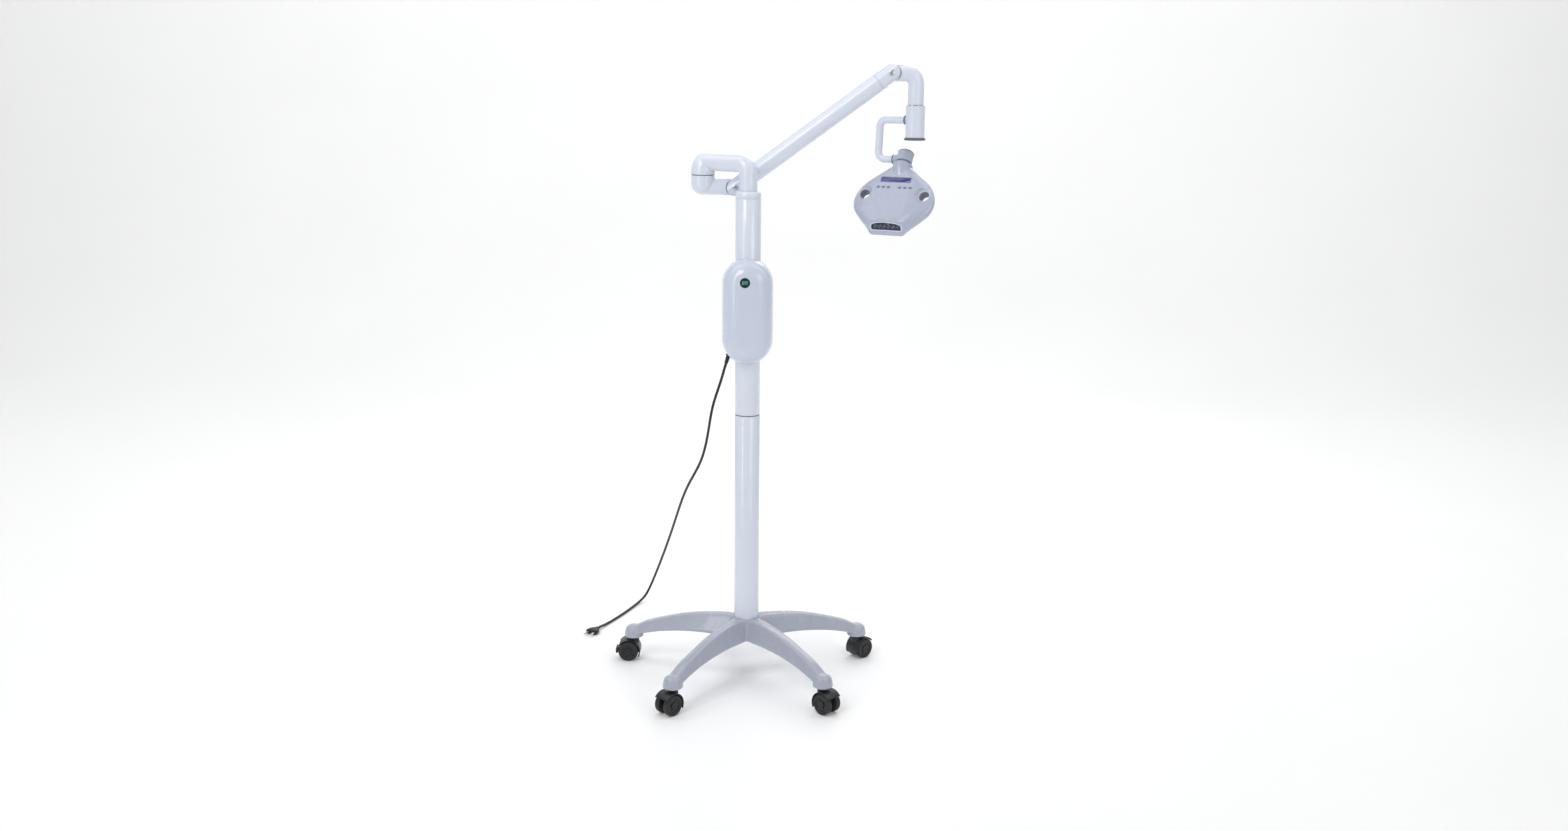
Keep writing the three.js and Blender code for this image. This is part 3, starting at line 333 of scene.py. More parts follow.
def sweep(path, radius, seg=40, caps=True, M=None, up0=(0, 0, 1)):
    """round bar along points; radius is a number or one for each point"""
    P = [V(p) for p in path]
    rr = radius if isinstance(radius, (list, tuple)) else [radius] * len(P)
    rings = []
    prev = None
    for i, p in enumerate(P):
        t = (P[min(i + 1, len(P) - 1)] - P[max(i - 1, 0)]).normalized()
        if prev is None:
            u = V(up0) if abs(t.dot(V(up0))) < 0.9 else V((1, 0, 0))
        else:
            u = prev
        u = (u - t * u.dot(t)).normalized()
        prev = u
        v = t.cross(u)
        rings.append([tuple(p + u * rr[i] * cos(2 * pi * j / seg) + v * rr[i] * sin(2 * pi * j / seg)) for j in range(seg)])
    return loft(rings, M, caps)


XZ = basis((1, 0, 0), (0, 0, 1), (0, -1, 0), (0, 0, 0))   # outline in x-z, depth along -y


def along(d, at):
    d = V(d).normalized()
    x = V((0, 0, 1)).cross(d)
    x = x.normalized() if x.length > 1e-6 else V((1, 0, 0))
    return basis(x, d.cross(x), d, at)


# ------------------------------------------------------------------ power cord, gland and plug
gland_dir = V((-0.28, 0, -0.96)).normalized()
gland_top = V((-45.8, 6, 803))
plug_at, plug_dir = V((-404, 270.5, 7.3)), V((-0.424, -0.9055, 0)).normalized()
route = [gland_top + gland_dir * d for d in (21.3, 30, 40)] + [V(p) for p in (
    (-64, 14, 737.9), (-74.5, 20, 707), (-84.5, 31, 675.3), (-90.8, 44, 642.5), (-95.8, 60, 608.7), (-102.7, 82, 569.8),
    (-114, 112, 521.2), (-129.5, 138, 484.7), (-148.2, 168, 447.8), (-165.4, 203, 406.8), (-179.6, 241, 363.5), (-198.4, 301, 299),
    (-217.6, 359, 236.1), (-237.4, 412, 174.3), (-262.2, 466, 103.2), (-277.8, 489, 61.1), (-289, 499, 35), (-299, 500, 16),
    (-311.5, 490, 5.4), (-325.9, 454, 3.7), (-343.2, 405, 3.7), (-363.8, 357.5, 3.7), (-383.5, 314, 3.7))] + [
    plug_at + plug_dir * d for d in (-15, -8, -0.3)]
fine = [V(p) for p in catmull(route, 6)]
for _ in range(30):
    # ease the tight turns; both ends keep their direction
    fine = fine[:14] + [0.5 * fine[i] + 0.25 * (fine[i - 1] + fine[i + 1]) for i in range(14, len(fine) - 16)] + fine[len(fine) - 16:]
cord_cu = bpy.data.curves.new("power_cord_sheath", 'CURVE')
cord_cu.dimensions = '3D'
sp = cord_cu.splines.new('POLY')
sp.points.add(len(fine) - 1)
for i, p in enumerate(fine):
    q = S(p)
    sp.points[i].co = (q.x, q.y, q.z, 1)
cord_cu.bevel_depth = 0.0033
cord_cu.bevel_resolution = 5
cord_cu.use_fill_caps = True
cord = bpy.data.objects.new("power_cord_sheath", cord_cu)
bpy.context.scene.collection.objects.link(cord)
cord_cu.materials.append(MAT['cord'])
sp.use_smooth = True
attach(cord, "base")
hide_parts("power_cord")
cord_len = sum((S(fine[i + 1]) - S(fine[i])).length for i in range(len(fine) - 1))

gx = V((0, 1, 0)); gz = gland_dir; gy = gz.cross(gx).normalized()
GL = basis(gx, gy, gz, gland_top)
gp = [(0, -8), (5.6, -8), (5.6, -1.5), (6.6, -1.2), (6.6, 0.6), (5.4, 1.0)]
for i in range(6):
    z = 2.2 + 3.0 * i
    r = 5.3 - 0.13 * i
    gp += [(r, z), (r + 0.05, z + 1.4), (r - 0.75, z + 1.7), (r - 0.75, z + 2.7)]
gp += [(4.6, 20.4), (4.2, 21.0), (0, 21.0)]
gland = finish(lathe(gp, 40, GL), "strain_relief", 'black', "base", "cord_gland", sharp=40)

PL = basis(plug_dir, V((-plug_dir.y, plug_dir.x, 0)), (0, 0, 1), plug_at)


def plug_section(x, hw, hh, n=48):
    e = 3.2
    out = []
    for j in range(n):
        a = 2 * pi * j / n
        c, s = cos(a), sin(a)
        out.append((x, hw * math.copysign(abs(c) ** (2 / e), c), hh * math.copysign(abs(s) ** (2 / e), s)))
    return out


pst = [(0, 4.6, 4.6), (1, 5.4, 5.0), (4, 5.8, 5.15), (5, 5.3, 4.7), (6, 5.9, 5.2), (8, 6.6, 5.6), (11, 8.6, 6.1), (14, 11.8, 6.45), (18, 14.8, 6.7),
       (24, 16.4, 6.8), (31, 16.8, 6.8), (33, 16.3, 6.5), (34, 15.2, 5.9)]
plug_bm = combine(loft([plug_section(*s) for s in pst], PL), [
    ('DIFFERENCE', cyl(2.6, 30, 40, 24, PL @ basis((0, 1, 0), (0, 0, 1), (1, 0, 0), (0, y, 0)))) for y in (-9.3, 9.3)])
plug = finish(plug_bm, "plug_moulding", 'cord', "base", "plug_body", sharp=38)
for y, nm in ((-9.3, "line"), (9.3, "neutral")):
    finish(lathe([(0, 27), (2.2, 27), (2.2, 51.6), (1.9, 52.6), (1.2, 53), (0, 53)], 28,
                             PL @ basis((0, 1, 0), (0, 0, 1), (1, 0, 0), (0, y, 0))), "plug_contact_" + nm, 'steel', "base", "plug_pin_" + nm, sharp=40)
tuple(S(gland_top + gland_dir * 21))
WORLD, EXPOSURE = 0.42, -0.2
LIGHTS = [("key", (-1.6, -2.4, 3.3), (0, 0, 1.1), 1.5, 42), ("fill", (2.3, -2.2, 2.2), (0, 0, 1.1), 1.3, 13),
          ("rim", (0.6, 2.6, 2.8), (0, 0, 0.9), 1.6, 16), ("strip_left", (-1.9, -2.1, 1.5), (0, 0, 1.3), 0.2, 11, (1, 1, 1), 1.9),
          ("strip_right", (1.7, -2.5, 1.5), (0, 0, 1.3), 0.2, 8, (1, 1, 1), 1.9),
          ("backdrop_left", (-2.6, 0.9, 4.6), (-2.4, 5.0, 1.0), 4.5, 105), ("backdrop_right", (2.6, 0.9, 4.6), (2.4, 5.0, 1.0), 4.5, 105)]

# ------------------------------------------------------------------ five-arm base
STEM_R, TURN = 297.8, 2.504
ARMS = [-108, -36, 36, 108, 180]


def arm_dir(i):
    h = rad(ARMS[i] + TURN)
    return V((sin(h), -cos(h), 0))


def arm_ring(r, top, bottom, ht, hb):
    sh = min(7, (top - bottom) * 0.3)
    pts = [(-hb, bottom), (hb, bottom), (hb, bottom + sh * 0.9), (ht + 2.2, top - 1.2), (0, top + 0.2), (-ht - 2.2, top - 1.2), (-hb, bottom + sh * 0.9)]
    return [(r, y, z) for y, z in resample(rounded(pts, [3, 3, 4, 5, 60, 5, 4], 6), 56)]


def arm_loft(Mx):
    st = [(14, 149, 99, 15, 34), (60, 149.5, 100, 12, 31), (110, 145.5, 100.5, 10, 28), (165, 136.5, 97, 9, 25),
          (220, 121.5, 89, 8.5, 22.5), (262, 107.5, 79, 9.6, 21.8), (304, 88, 67, 10, 20)]
    xs = np.array([s[0] for s in st], float)
    A = np.array(st, float)
    rings = []
    for r in np.linspace(14, 304, 30):
        row = [r]
        for c in range(1, 5):
            pts = [(float(a), float(b)) for a, b in zip(xs, A[:, c])]
            # smooth interpolation
            i = int(np.clip(np.searchsorted(xs, r) - 1, 0, len(xs) - 2))
            p0, p1, p2, p3 = A[max(i - 1, 0), c], A[i, c], A[i + 1, c], A[min(i + 2, len(xs) - 1), c]
            t = (r - xs[i]) / (xs[i + 1] - xs[i])
            row.append(0.5 * (2 * p1 + (p2 - p0) * t + (2 * p0 - 5 * p1 + 4 * p2 - p3) * t * t + (3 * p1 - p0 - 3 * p2 + p3) * t ** 3))
        rings.append(arm_ring(*row))
    # rounded tip
    r, top, bottom, ht, hb = st[-1]
    for k in range(1, 5):
        f = k / 4.4
        s = math.sqrt(1 - f * f)
        rings.append(arm_ring(r + 9 * f, bottom + 10.5 + (top - bottom - 10.5) * s, bottom + 10.5 * (1 - s), ht * s, hb * s))
    return loft(rings, Mx)


base_bm = lathe([(0, 99), (46, 99), (49, 104), (48.5, 108), (40.5, 136), (38.5, 143.5), (36.8, 146.4), (35.5, 147), (0, 147)], 72)
ops = []
for i in range(5):
    d = arm_dir(i)
    Mx = basis(d, (-d.y, d.x, 0), (0, 0, 1), (0, 0, 0))
    ops.append(('UNION', arm_loft(Mx)))
    ops.append(('UNION', lathe([(0, 62), (23.2, 62), (24, 63), (24, 69), (23.2, 72.5), (21.5, 80), (18.5, 86), (10, 91), (0, 92)], 48,
                               T(d.x * STEM_R, d.y * STEM_R, 0))))
base_bm = combine(base_bm, ops)
base_tmp = temp(base_bm)
rm = base_tmp.modifiers.new("r", 'REMESH')
rm.mode, rm.voxel_size = 'VOXEL', 1.6
apply_mods(base_tmp)
sm = base_tmp.modifiers.new("s", 'SMOOTH')
sm.factor, sm.iterations = 0.5, 7
apply_mods(base_tmp)
b2 = bmesh.new(); b2.from_mesh(base_tmp.data)
od = base_tmp.data; bpy.data.objects.remove(base_tmp); bpy.data.meshes.remove(od)
cuts = [('DIFFERENCE', cyl(30.9, 104, 200, 72))]
for i in range(5):
    d = arm_dir(i)
    cuts.append(('DIFFERENCE', cyl(6.2, 50, 84, 24, T(d.x * STEM_R, d.y * STEM_R, 0))))
base = finish(combine(b2, cuts), "five_arm_base", 'base', "base", "base_star", sharp=50)
# collar in the hub's mouth
finish(lathe([(31.0, 140), (36.2, 140), (36.2, 147.1), (35.4, 147.9), (32.2, 147.9), (31.0, 147.0), (31.0, 140)], 72), "hub_collar_lip", 'base', "base", sharp=40)

# ------------------------------------------------------------------ column
R, B, SEAM, TOP = 30.25, 27.5, 660.7, 1175.7
finish(lathe([(B, 106.3), (R, 106.3), (R, SEAM - 1.9), (R - 0.5, SEAM - 1.2), (R - 1.2, SEAM - 1.0), (B, SEAM - 1.0), (B, 106.3)], 96),
       "lower_column", 'paint', "base", "column_lower_tube", sharp=40)
finish(lathe([(B, SEAM + 1.0), (R - 1.2, SEAM + 1.0), (R - 0.5, SEAM + 1.2), (R, SEAM + 1.9), (R, TOP - 0.6), (R - 0.5, TOP), (B, TOP), (B, SEAM + 1.0)], 96),
       "upper_column", 'paint', "base", "column_upper_tube", sharp=40)
finish(lathe([(0, 610), (B - 0.4, 610), (B - 0.4, SEAM - 0.7), (R - 0.7, SEAM - 0.7), (R - 0.7, SEAM + 0.7), (B - 0.4, SEAM + 0.7), (B - 0.4, 711), (0, 711)], 96),
       "column_seam_ring", 'ring', "base", "column_joint_spigot", sharp=40)
finish(lathe([(0, 1140), (B - 0.4, 1140), (B - 0.4, TOP + 0.3), (R - 0.4, TOP + 0.3), (R, TOP + 0.8), (R, 1183), (29.7, 1186.2), (28.5, 1189), (26.6, 1191),
              (24.6, 1192), (21.8, 1192), (21.5, 1191.4), (21.5, 1146), (0, 1146)], 96), "column_cap_ring", 'paint', "base", "column_top_cap", sharp=40)

# ------------------------------------------------------------------ castors
TRAIL, WR = 14.0, 25.0
names = ['left', 'front_left', 'front_right', 'right', 'back']
turns = [180, 227, -45, 42, 83]


def sector(r0, r1, a0, a1, n, cx=TRAIL, cz=WR):
    o, q = [], []
    for i in range(n + 1):
        a = rad(a0 + (a1 - a0) * i / n)
        o.append((cx + r1 * cos(a), cz + r1 * sin(a)))
        q.append((cx + r0 * cos(a), cz + r0 * sin(a)))
    return o + q[::-1]


for i, nm in enumerate(names):
    d = arm_dir(i)
    G = T(d.x * STEM_R, d.y * STEM_R, 0) @ Matrix.Rotation(rad(turns[i]), 4, 'Z')
    bn = "castor_" + nm
    X = G @ XZ
    web = []
    for k in range(17):
        t = rad(50 + 143 * k / 16); web.append((TRAIL + 28 * cos(t), WR + 28 * sin(t)))
    for k in range(10):
        t = rad(228 + 150 * k / 9); web.append((TRAIL + 8.5 * cos(t), WR + 8.5 * sin(t)))
    hood = finish(prism(sector(27, 29.6, 38, 205, 28), -20.5, 20.5, X), bn + "_hood", 'black', bn, bn + "_housing", bevel=0.7)
    w = finish(prism(web, -6.6, 6.6, X), bn + "_web", 'black', bn, bevel=0.8)
    # side cheeks of the hood, thin ribs
    for s, q in ((1, 'a'), (-1, 'b')):
        rb = finish(prism(sector(26.9, 29.9, 36, 207, 28), s * 19.4, s * 20.5, X), bn + "_hood_rib_" + q, 'black', bn, bevel=0.3, seg=1)
    col = finish(combine(lathe([(0, 44), (12.7, 44), (12.7, 50), (12.2, 54), (11.2, 60), (10.6, 61.4), (0, 61.4)], 40, G),
                         [('DIFFERENCE', cyl(26.6, -30, 30, 64, X @ T(TRAIL, WR, 0)))]), bn + "_collar", 'black', bn, sharp=40)
    finish(cyl(5.4, 58, 83, 28, G), bn + "_stem", 'steel', bn, sharp=40)
    finish(lathe([(0, -20.2), (2.2, -20.2), (2.9, -19.6), (2.9, 19.6), (2.2, 20.2), (0, 20.2)], 24, X @ T(TRAIL, WR, 0)), bn + "_axle", 'black', bn, sharp=40)
    for q, s in (('a', -1), ('b', 1)):
        Wm = G @ basis((1, 0, 0), (0, 0, -s), (0, s, 0), (TRAIL, s * 7.4, WR))
        wb = bn + "_wheel_" + q
        tyre = finish(lathe([(17.4, 0.6), (22.8, 0.3), (24.4, 0.9), (25.0, 2.2), (25.0, 6.6), (24.7, 7.0), (25.0, 7.4), (25.0, 11.4), (24.5, 12.8), (23.4, 13.6), (21.6, 13.9),
                             (18.2, 13.6), (17.4, 13.2), (17.4, 0.6)], 64, Wm), wb + "_tyre", 'tyre', wb, wb, sharp=35)
        finish(lathe([(3.5, 0.4), (17.3, 0.4), (17.3, 12.8), (16.6, 13.1), (15.6, 12.4), (15.0, 11.2), (8.2, 10.4), (7.6, 12.6), (7.0, 13.3), (3.9, 13.3), (3.5, 13.0), (3.5, 0.4)], 56, Wm),
               wb + "_centre", 'black', wb, sharp=30)
        for k in range(6):
            Sp = Wm @ Matrix.Rotation(rad(60 * k), 4, 'Z')
            finish(block(7.4, 15.4, -0.8, 0.8, 10.0, 12.2, Sp), wb + "_spoke_%d" % k, 'black', wb, bevel=0.3, seg=1)
    if i == 0:
        bm = combine(prism(sector(9.5, 28, -12, 15, 10), -6.2, 6.2, X), [('UNION', prism(rounded(sector(27, 32.5, -12, 13, 8), 0.6, 2), -12.5, 12.5, X))])
        finish(bm, "brake_pedal", 'black', "castor_left_brake", "castor_left_brake_lever", bevel=0.5)
        for k in range(4):
            a = -8 + 5.5 * k
            finish(block(32.3, 32.75, -9.5, 9.5, -0.45, 0.45, G @ T(TRAIL, 0, WR) @ Matrix.Rotation(-rad(a), 4, 'Y')), "brake_pedal_grip_%d" % k, 'black', "castor_left_brake")

# ------------------------------------------------------------------ power box on the column
BOX_Z, BW, BH = 913.5, 120.0, 250.0


def capsule(hw, hh, n=20):
    r = hw
    s = hh - r
    return [(r * cos(pi * k / n), s + r * sin(pi * k / n)) for k in range(n + 1)] + \
           [(r * cos(pi + pi * k / n), -s + r * sin(pi + pi * k / n)) for k in range(n + 1)]


def smooth_levels(lv, per=6):
    return [(p.x, p.y) for p in (q.to_2d() for q in catmull([(a, b, 0) for a, b in lv], per))]


def box_skin(levels):
    return loft([[(x, y, BOX_Z + z) for x, z in capsule(BW / 2 - off, BH / 2 - off)] for y, off in levels])


front_lv = [(-8.2, 1.4), (-8.9, 0.7), (-12, 0.35)] + smooth_levels([(-20, 0.05), (-28, 0.1), (-45, 2.8), (-58, 9), (-66.2, 17.5), (-71.8, 28), (-74.3, 38), (-74.9, 46)]) + [(-75.0, 54), (-75.0, 59)]
back_lv = [(-7.6, 1.4), (-6.9, 0.7), (-2, 0.9)] + smooth_levels([(4, 1.6), (14, 3), (29, 9), (35.5, 16), (38.2, 25), (38.5, 34)]) + [(38.5, 50)]
pole = lambda: cyl(30.6, 700, 1120, 96)
SW = basis((1, 0, 0), (0, 0, 1), (0, -1, 0), (-5, 0, 987))
finish(combine(box_skin(front_lv), [('DIFFERENCE', pole()), ('DIFFERENCE', cyl(11.9, 50, 90, 64, SW))]), "box_front_half", 'box', "base", "box_front_cover", sharp=40)
finish(combine(box_skin(back_lv), [('DIFFERENCE', pole()), ('DIFFERENCE', cyl(6.4, -30, 60, 32, GL))]), "box_back_half", 'box', "base", "box_back_cover", sharp=40)
# raised seat around the switch
finish(lathe([(11.9, 66), (13.9, 66), (13.9, 72.6), (13.5, 73.0), (12.5, 73.2), (11.9, 72.8), (11.9, 66)], 64, SW), "switch_seat", 'halo', "base", sharp=40)
bez = lathe([(0, 48), (10.1, 48), (10.1, 58), (11.5, 58), (11.5, 72.8), (11.2, 73.6), (10.5, 74.0), (9.6, 73.9), (9.2, 73.5), (0, 73.5)], 64, SW)
finish(combine(bez, [('DIFFERENCE', prism(rounded([(-7.3, -5.2), (7.3, -5.2), (7.3, 5.2), (-7.3, 5.2)], 0.8), 50, 90, SW))]), "switch_ring", 'black', "base", "switch_bezel", sharp=35)
RK = basis((0, 0, 1), (0, -1, 0), (1, 0, 0), (-5, 0, 987))
rk = rounded([(-3.4, 66), (3.4, 66), (4.3, 72), (4.3, 74.2), (0, 73.4), (-4.3, 75.6), (-4.3, 72)], [0.3, 0.3, 0.2, 0.6, 6, 0.8, 0.2], 5)
finish(prism(rk, -6.8, 6.8, RK), "switch_rocker_lens", 'green', "switch_rocker", "power_switch_rocker", bevel=0.35)

# ------------------------------------------------------------------ gooseneck on the column top
SX, SY = -108.8, 58.0
a_len = math.hypot(SX, SY)
a_dir = V((SX / a_len, SY / a_len, 0))
AT = T(SX, SY, 0)
path, rr = [], []
for z in (1146.6, 1170, 1200, 1216):
    path.append(V((0, 0, z))); rr.append(21.0)
for k in range(15):
    f = rad(90 * k / 14)
    path.append(a_dir * (22.5 - 22.5 * cos(f)) + V((0, 0, 1232 + 22.5 * sin(f)))); rr.append(21 - k / 14)
for d in (45, 80, 110, a_len):
    path.append(a_dir * d + V((0, 0, 1254.5))); rr.append(20.0)
neck = sweep(path, rr, 72, up0=(0, 1, 0))
dome = [(0, 1226.1), (27.2, 1226.1), (28, 1226.8), (28, 1232)] + [(28 * cos(rad(90 * k / 18)), 1232 + 41.5 * sin(rad(90 * k / 18))) for k in range(1, 18)] + [(0, 1273.5)]
ball = lambda r, at: lathe([(0, -r)] + [(r * sin(rad(a)), -r * cos(rad(a))) for a in range(6, 180, 6)] + [(0, r)], 72, T(*at))
neck = combine(neck, [('UNION', lathe(dome, 72, AT)), ('UNION', cyl(12, 1194, 1240, 48, AT)), ('UNION', ball(20, (SX, SY, 1254.5)))])
finish(neck, "gooseneck", 'paint', "gooseneck", "gooseneck_arm", sharp=30)
finish(lathe([(12.4, 1224.6), (27.2, 1224.6), (27.2, 1225.8), (12.4, 1225.8), (12.4, 1224.6)], 72, AT), "swivel_seam_ring", 'ring', "gooseneck", "swivel_washer", sharp=40)

# ------------------------------------------------------------------ knuckles
PLO, PHI = V((-32, 58, 1197)), V((329.7, 58, 1463.3))


def pin_frame(p):
    return basis((1, 0, 0), (0, 0, 1), (0, -1, 0), p)


def xtoy(m):
    return m @ XZ


def tongue(m):
    o = [(-26, -18.6)] + [(18.6 * cos(rad(a)), 18.6 * sin(rad(a))) for a in range(-90, 91, 9)] + [(-26, 18.6)]
    return combine(prism(o, -2, 9, xtoy(m)), [('DIFFERENCE', cyl(4.05, -4, 11, 32, xtoy(m)))])


def stud(p):
    return cyl(2.2, -8.4, -1, 24, pin_frame((p[0], p[1], p[2] + 10)))


# lower swivel elbow
dd = [(0, 1224.3), (27.2, 1224.3), (28, 1223.6), (28, 1204)] + [(28 * cos(rad(90 * k / 16)), 1204 - 25.8 * sin(rad(90 * k / 16))) for k in range(1, 16)] + [(0, 1178.2)]
bar = combine(cyl(18.9, 0, PLO[0] - SX - 4, 72, along((1, 0, 0), (SX, SY, 1197))), [('DIFFERENCE', cyl(22, -30, 30, 72, pin_frame(PLO)))])
elbow = combine(lathe(dd, 72, AT), [('UNION', ball(18.9, (SX, SY, 1197))), ('UNION', bar), ('UNION', tongue(basis((1, 0, 0), (0, 1, 0), (0, 0, 1), PLO))),
                                    ('UNION', stud(PLO)), ('DIFFERENCE', cyl(12.5, 1192, 1240, 48, AT))])
finish(elbow, "swivel_elbow_body", 'paint', "elbow", "swivel_elbow", sharp=30)

# boom
blen = (PHI - PLO).length
bdir = (PHI - PLO).normalized()
bup = V((-bdir.z, 0, bdir.x))
lo_m, hi_m = basis(bdir, (0, 1, 0), bup, PLO), basis(-bdir, (0, 1, 0), -bup, PHI)


def fork(m, side):
    xf, yf = m @ basis((0, 1, 0), (0, 0, 1), (1, 0, 0), (0, 0, 0)), xtoy(m)
    o = [(20 * cos(rad(a)), 20 * sin(rad(a))) for a in range(90, 271, 7)] + [(12, -21.5), (62, -21.5), (62, 21.5), (12, 21.5)]
    body = lathe([(0, -24), (21, -24), (21, 35.2), (20.2, 36.0), (17.6, 36.0), (17.6, 60), (0, 60)], 72, xf)
    z0, z1 = (3.0, 13.6) if side > 0 else (-13.6, -3.0)
    return combine(body, [('INTERSECT', prism(o, -30, 30, yf)), ('DIFFERENCE', block(-40, 24, -9.3, 9.3, -40, 40, m)), ('DIFFERENCE', cyl(4.0, -40, 40, 32, yf)),
                          ('DIFFERENCE', cyl(7.4, 19.9, 40, 40, yf)), ('DIFFERENCE', cyl(7.4, -40, -19.9, 40, yf)),
                          ('DIFFERENCE', block(20, 70, 2.4, 8.8, z0, z1, m))])


finish(fork(lo_m, 1), "boom_clevis_lower", 'paint', "boom", "boom_fork_lower", sharp=30)
finish(fork(hi_m, -1), "boom_clevis_upper", 'paint', "boom", "boom_fork_upper", sharp=30)
finish(lathe([(18, 36.4), (20.3, 36.4), (21, 37.1), (21, blen - 37.1), (20.3, blen - 36.4), (18, blen - 36.4), (18, 36.4)], 96, along(bdir, PLO)),
       "boom_tube_skin", 'paint', "boom", "boom_tube", sharp=40)
for p, nm in ((PLO, "lower"), (PHI, "upper")):
    finish(lathe([(0, -21.8), (5.0, -21.8), (6.2, -21.2), (6.4, -20.6), (6.4, -20.2), (3.6, -20.2), (3.6, 20.2), (6.4, 20.2), (6.4, 20.6), (6.2, 21.2), (5.0, 21.8), (0, 21.8)],
                 40, pin_frame(p)), "knuckle_pin_" + nm, 'steel', "boom", "boom_pin_" + nm, sharp=35)

# drop elbow, ring, tube and end ring
DX, DY, SEAM2 = 388.0, 58.0, 1390.0
DR = T(DX, DY, 0)
path = [V((333.7, DY, 1463.3)), V((345, DY, 1463.3)), V((355, DY, 1463.3))]
for k in range(15):
    a = rad(90 * k / 14)
    path.append(V((DX - 26 + 26 * sin(a), DY, 1463.3 - 26 + 26 * cos(a))))
path += [V((DX, DY, 1425)), V((DX, DY, 1405)), V((DX, DY, 1391.8)), V((DX, DY, 1390.9))]
bend = sweep(path, [18.9] * (len(path) - 1) + [18.1], 72)
bend = combine(bend, [('DIFFERENCE', cyl(22, -30, 30, 72, pin_frame(PHI))), ('UNION', tongue(basis((-1, 0, 0), (0, 1, 0), (0, 0, -1), PHI))), ('UNION', stud(PHI)),
                      ('UNION', cyl(12, 1373, 1400, 48, DR))])
finish(bend, "drop_bend", 'paint', "drop_elbow", "drop_elbow", sharp=30)
finish(lathe([(12.4, 1389.4), (21.6, 1389.4), (22.15, 1389.7), (22.15, 1390.3), (21.6, 1390.6), (12.4, 1390.6), (12.4, 1389.4)], 72, DR), "drop_seam_ring", 'chrome', "drop_elbow",
       "drop_swivel_ring", sharp=40)
be, al = rad(26.4), rad(32.8)
yoke_dir = V((-cos(be), sin(be), 0))
yoke_at = lambda rho, z: V((DX, DY, z)) + yoke_dir * rho
tube = combine(lathe([(0, 1338), (18.9, 1338), (18.9, 1316.1), (22.2, 1316.1), (22.65, 1316.6), (22.65, 1388.4), (22.0, 1389.1), (12.5, 1389.1), (12.5, 1372), (0, 1372)], 96, DR),
               [('DIFFERENCE', cyl(9.6, 6, 40, 48, along(yoke_dir, yoke_at(0, 1356))))])
finish(tube, "drop_tube_skin", 'paint', "drop_tube", "drop_tube", sharp=40)
# end ring coloured dark grey: painted shade under the drop tube's end
finish(lathe([(0, 1311.2), (17.5, 1311.2), (18.6, 1310.2), (21, 1309.7), (24.2, 1309.8), (25.1, 1310.6), (25.3, 1311.6), (25.2, 1313.2), (24.4, 1314.4), (22.65, 1315.7),
              (18.5, 1315.7), (18.5, 1331), (0, 1331)], 96, DR), "drop_end_shade_ring", 'ring', "drop_tube", "drop_end_cap", sharp=35)

# ------------------------------------------------------------------ yoke
YZ, TZ = 1356.0, 1264.2
lowr, topr, yb = 91.2, 88.6, 17.0
slant = math.degrees(math.atan2(lowr - topr, (YZ - yb) - (TZ + yb)))
yp = [yoke_at(r, YZ) for r in (7, 25, 45, 62)]
for k in range(13):
    t = rad(-(90 - slant) * k / 12)
    yp.append(yoke_at(topr - yb - yb * sin(t), YZ - yb + yb * cos(t)))
for k in range(13):
    t = rad(-(90 - slant) - (90 + slant) * k / 12)
    yp.append(yoke_at(lowr - yb - yb * sin(t), TZ + yb + yb * cos(t)))
yp += [yoke_at(r, TZ) for r in (62, 48, 34)]
finish(sweep(yp, 9.0, 48), "yoke_bar", 'paint', "yoke", "yoke_tube", sharp=35)
for r0, r1, z, ro, nm in ((23.1, 25.7, YZ, 10.9, "upper"), (50.6, 53.2, TZ, 11.3, "lower")):
    finish(lathe([(9.55, r0), (ro - 0.4, r0), (ro, r0 + 0.5), (ro, r1 - 0.5), (ro - 0.4, r1), (9.55, r1), (9.55, r0)], 48, along(yoke_dir, yoke_at(0, z))),
           "yoke_ring_" + nm, 'ring', "yoke", "yoke_%s_collar" % nm, sharp=35)

# ------------------------------------------------------------------ lamp head
nose = V((-sin(al) * sin(be), -sin(al) * cos(be), -cos(al)))
acr = V((cos(be), -sin(be), 0))
pan = nose.cross(acr).normalized()
HM = basis(acr, -nose, pan, yoke_at(24.2, TZ))
YH = basis((1, 0, 0), (0, 0, -1), (0, 1, 0), (0, 0, 0))        # local z -> head y
MX = basis((0, 1, 0), (0, 0, -1), (-1, 0, 0), (0, 0, 0))       # local z -> head -x
barrel = combine(lathe([(0, -27), (13.6, -27), (14.6, -9.6), (18.9, -8.0), (19.6, -7.0), (19.6, 15.5), (19.2, 17.6), (17.6, 19.6), (14, 20.8), (8, 21.4), (0, 21.6)], 72, HM @ YH),
                 [('UNION', cyl(11.6, 10, 26.0, 48, HM @ MX)), ('DIFFERENCE', cyl(9.6, 9.2, 40, 48, HM @ MX))])
finish(barrel, "neck_barrel", 'shell', "head", "tilt_neck_barrel", sharp=32)
finish(lathe([(17.0, 16.2), (19.9, 16.2), (19.9, 17.0), (17.0, 17.0), (17.0, 16.2)], 72, HM @ YH), "neck_barrel_line", 'ring', "head", sharp=40)

half = [(0, 14.5), (20, 20), (49, 42), (79, 66), (95, 89), (100.5, 114), (94, 138), (76, 159.5), (52, 182.5), (40, 197.4)]
side = [(p.x, p.y) for p in catmull([(w, l, 0) for w, l in half], 10)]
outl = side + [(40 - 80 * k / 16, 197.4) for k in range(1, 17)] + [(-w, l) for w, l in side[::-1][1:-1]]
outl = [tuple(p) for p in resample(outl, 180)]
CL, PH, SPLIT, THIN = 105.0, 18.0, -8.0, 0.36


def smooth(a, b, x):
    t = min(1, max(0, (x - a) / (b - a)))
    return t * t * (3 - 2 * t)


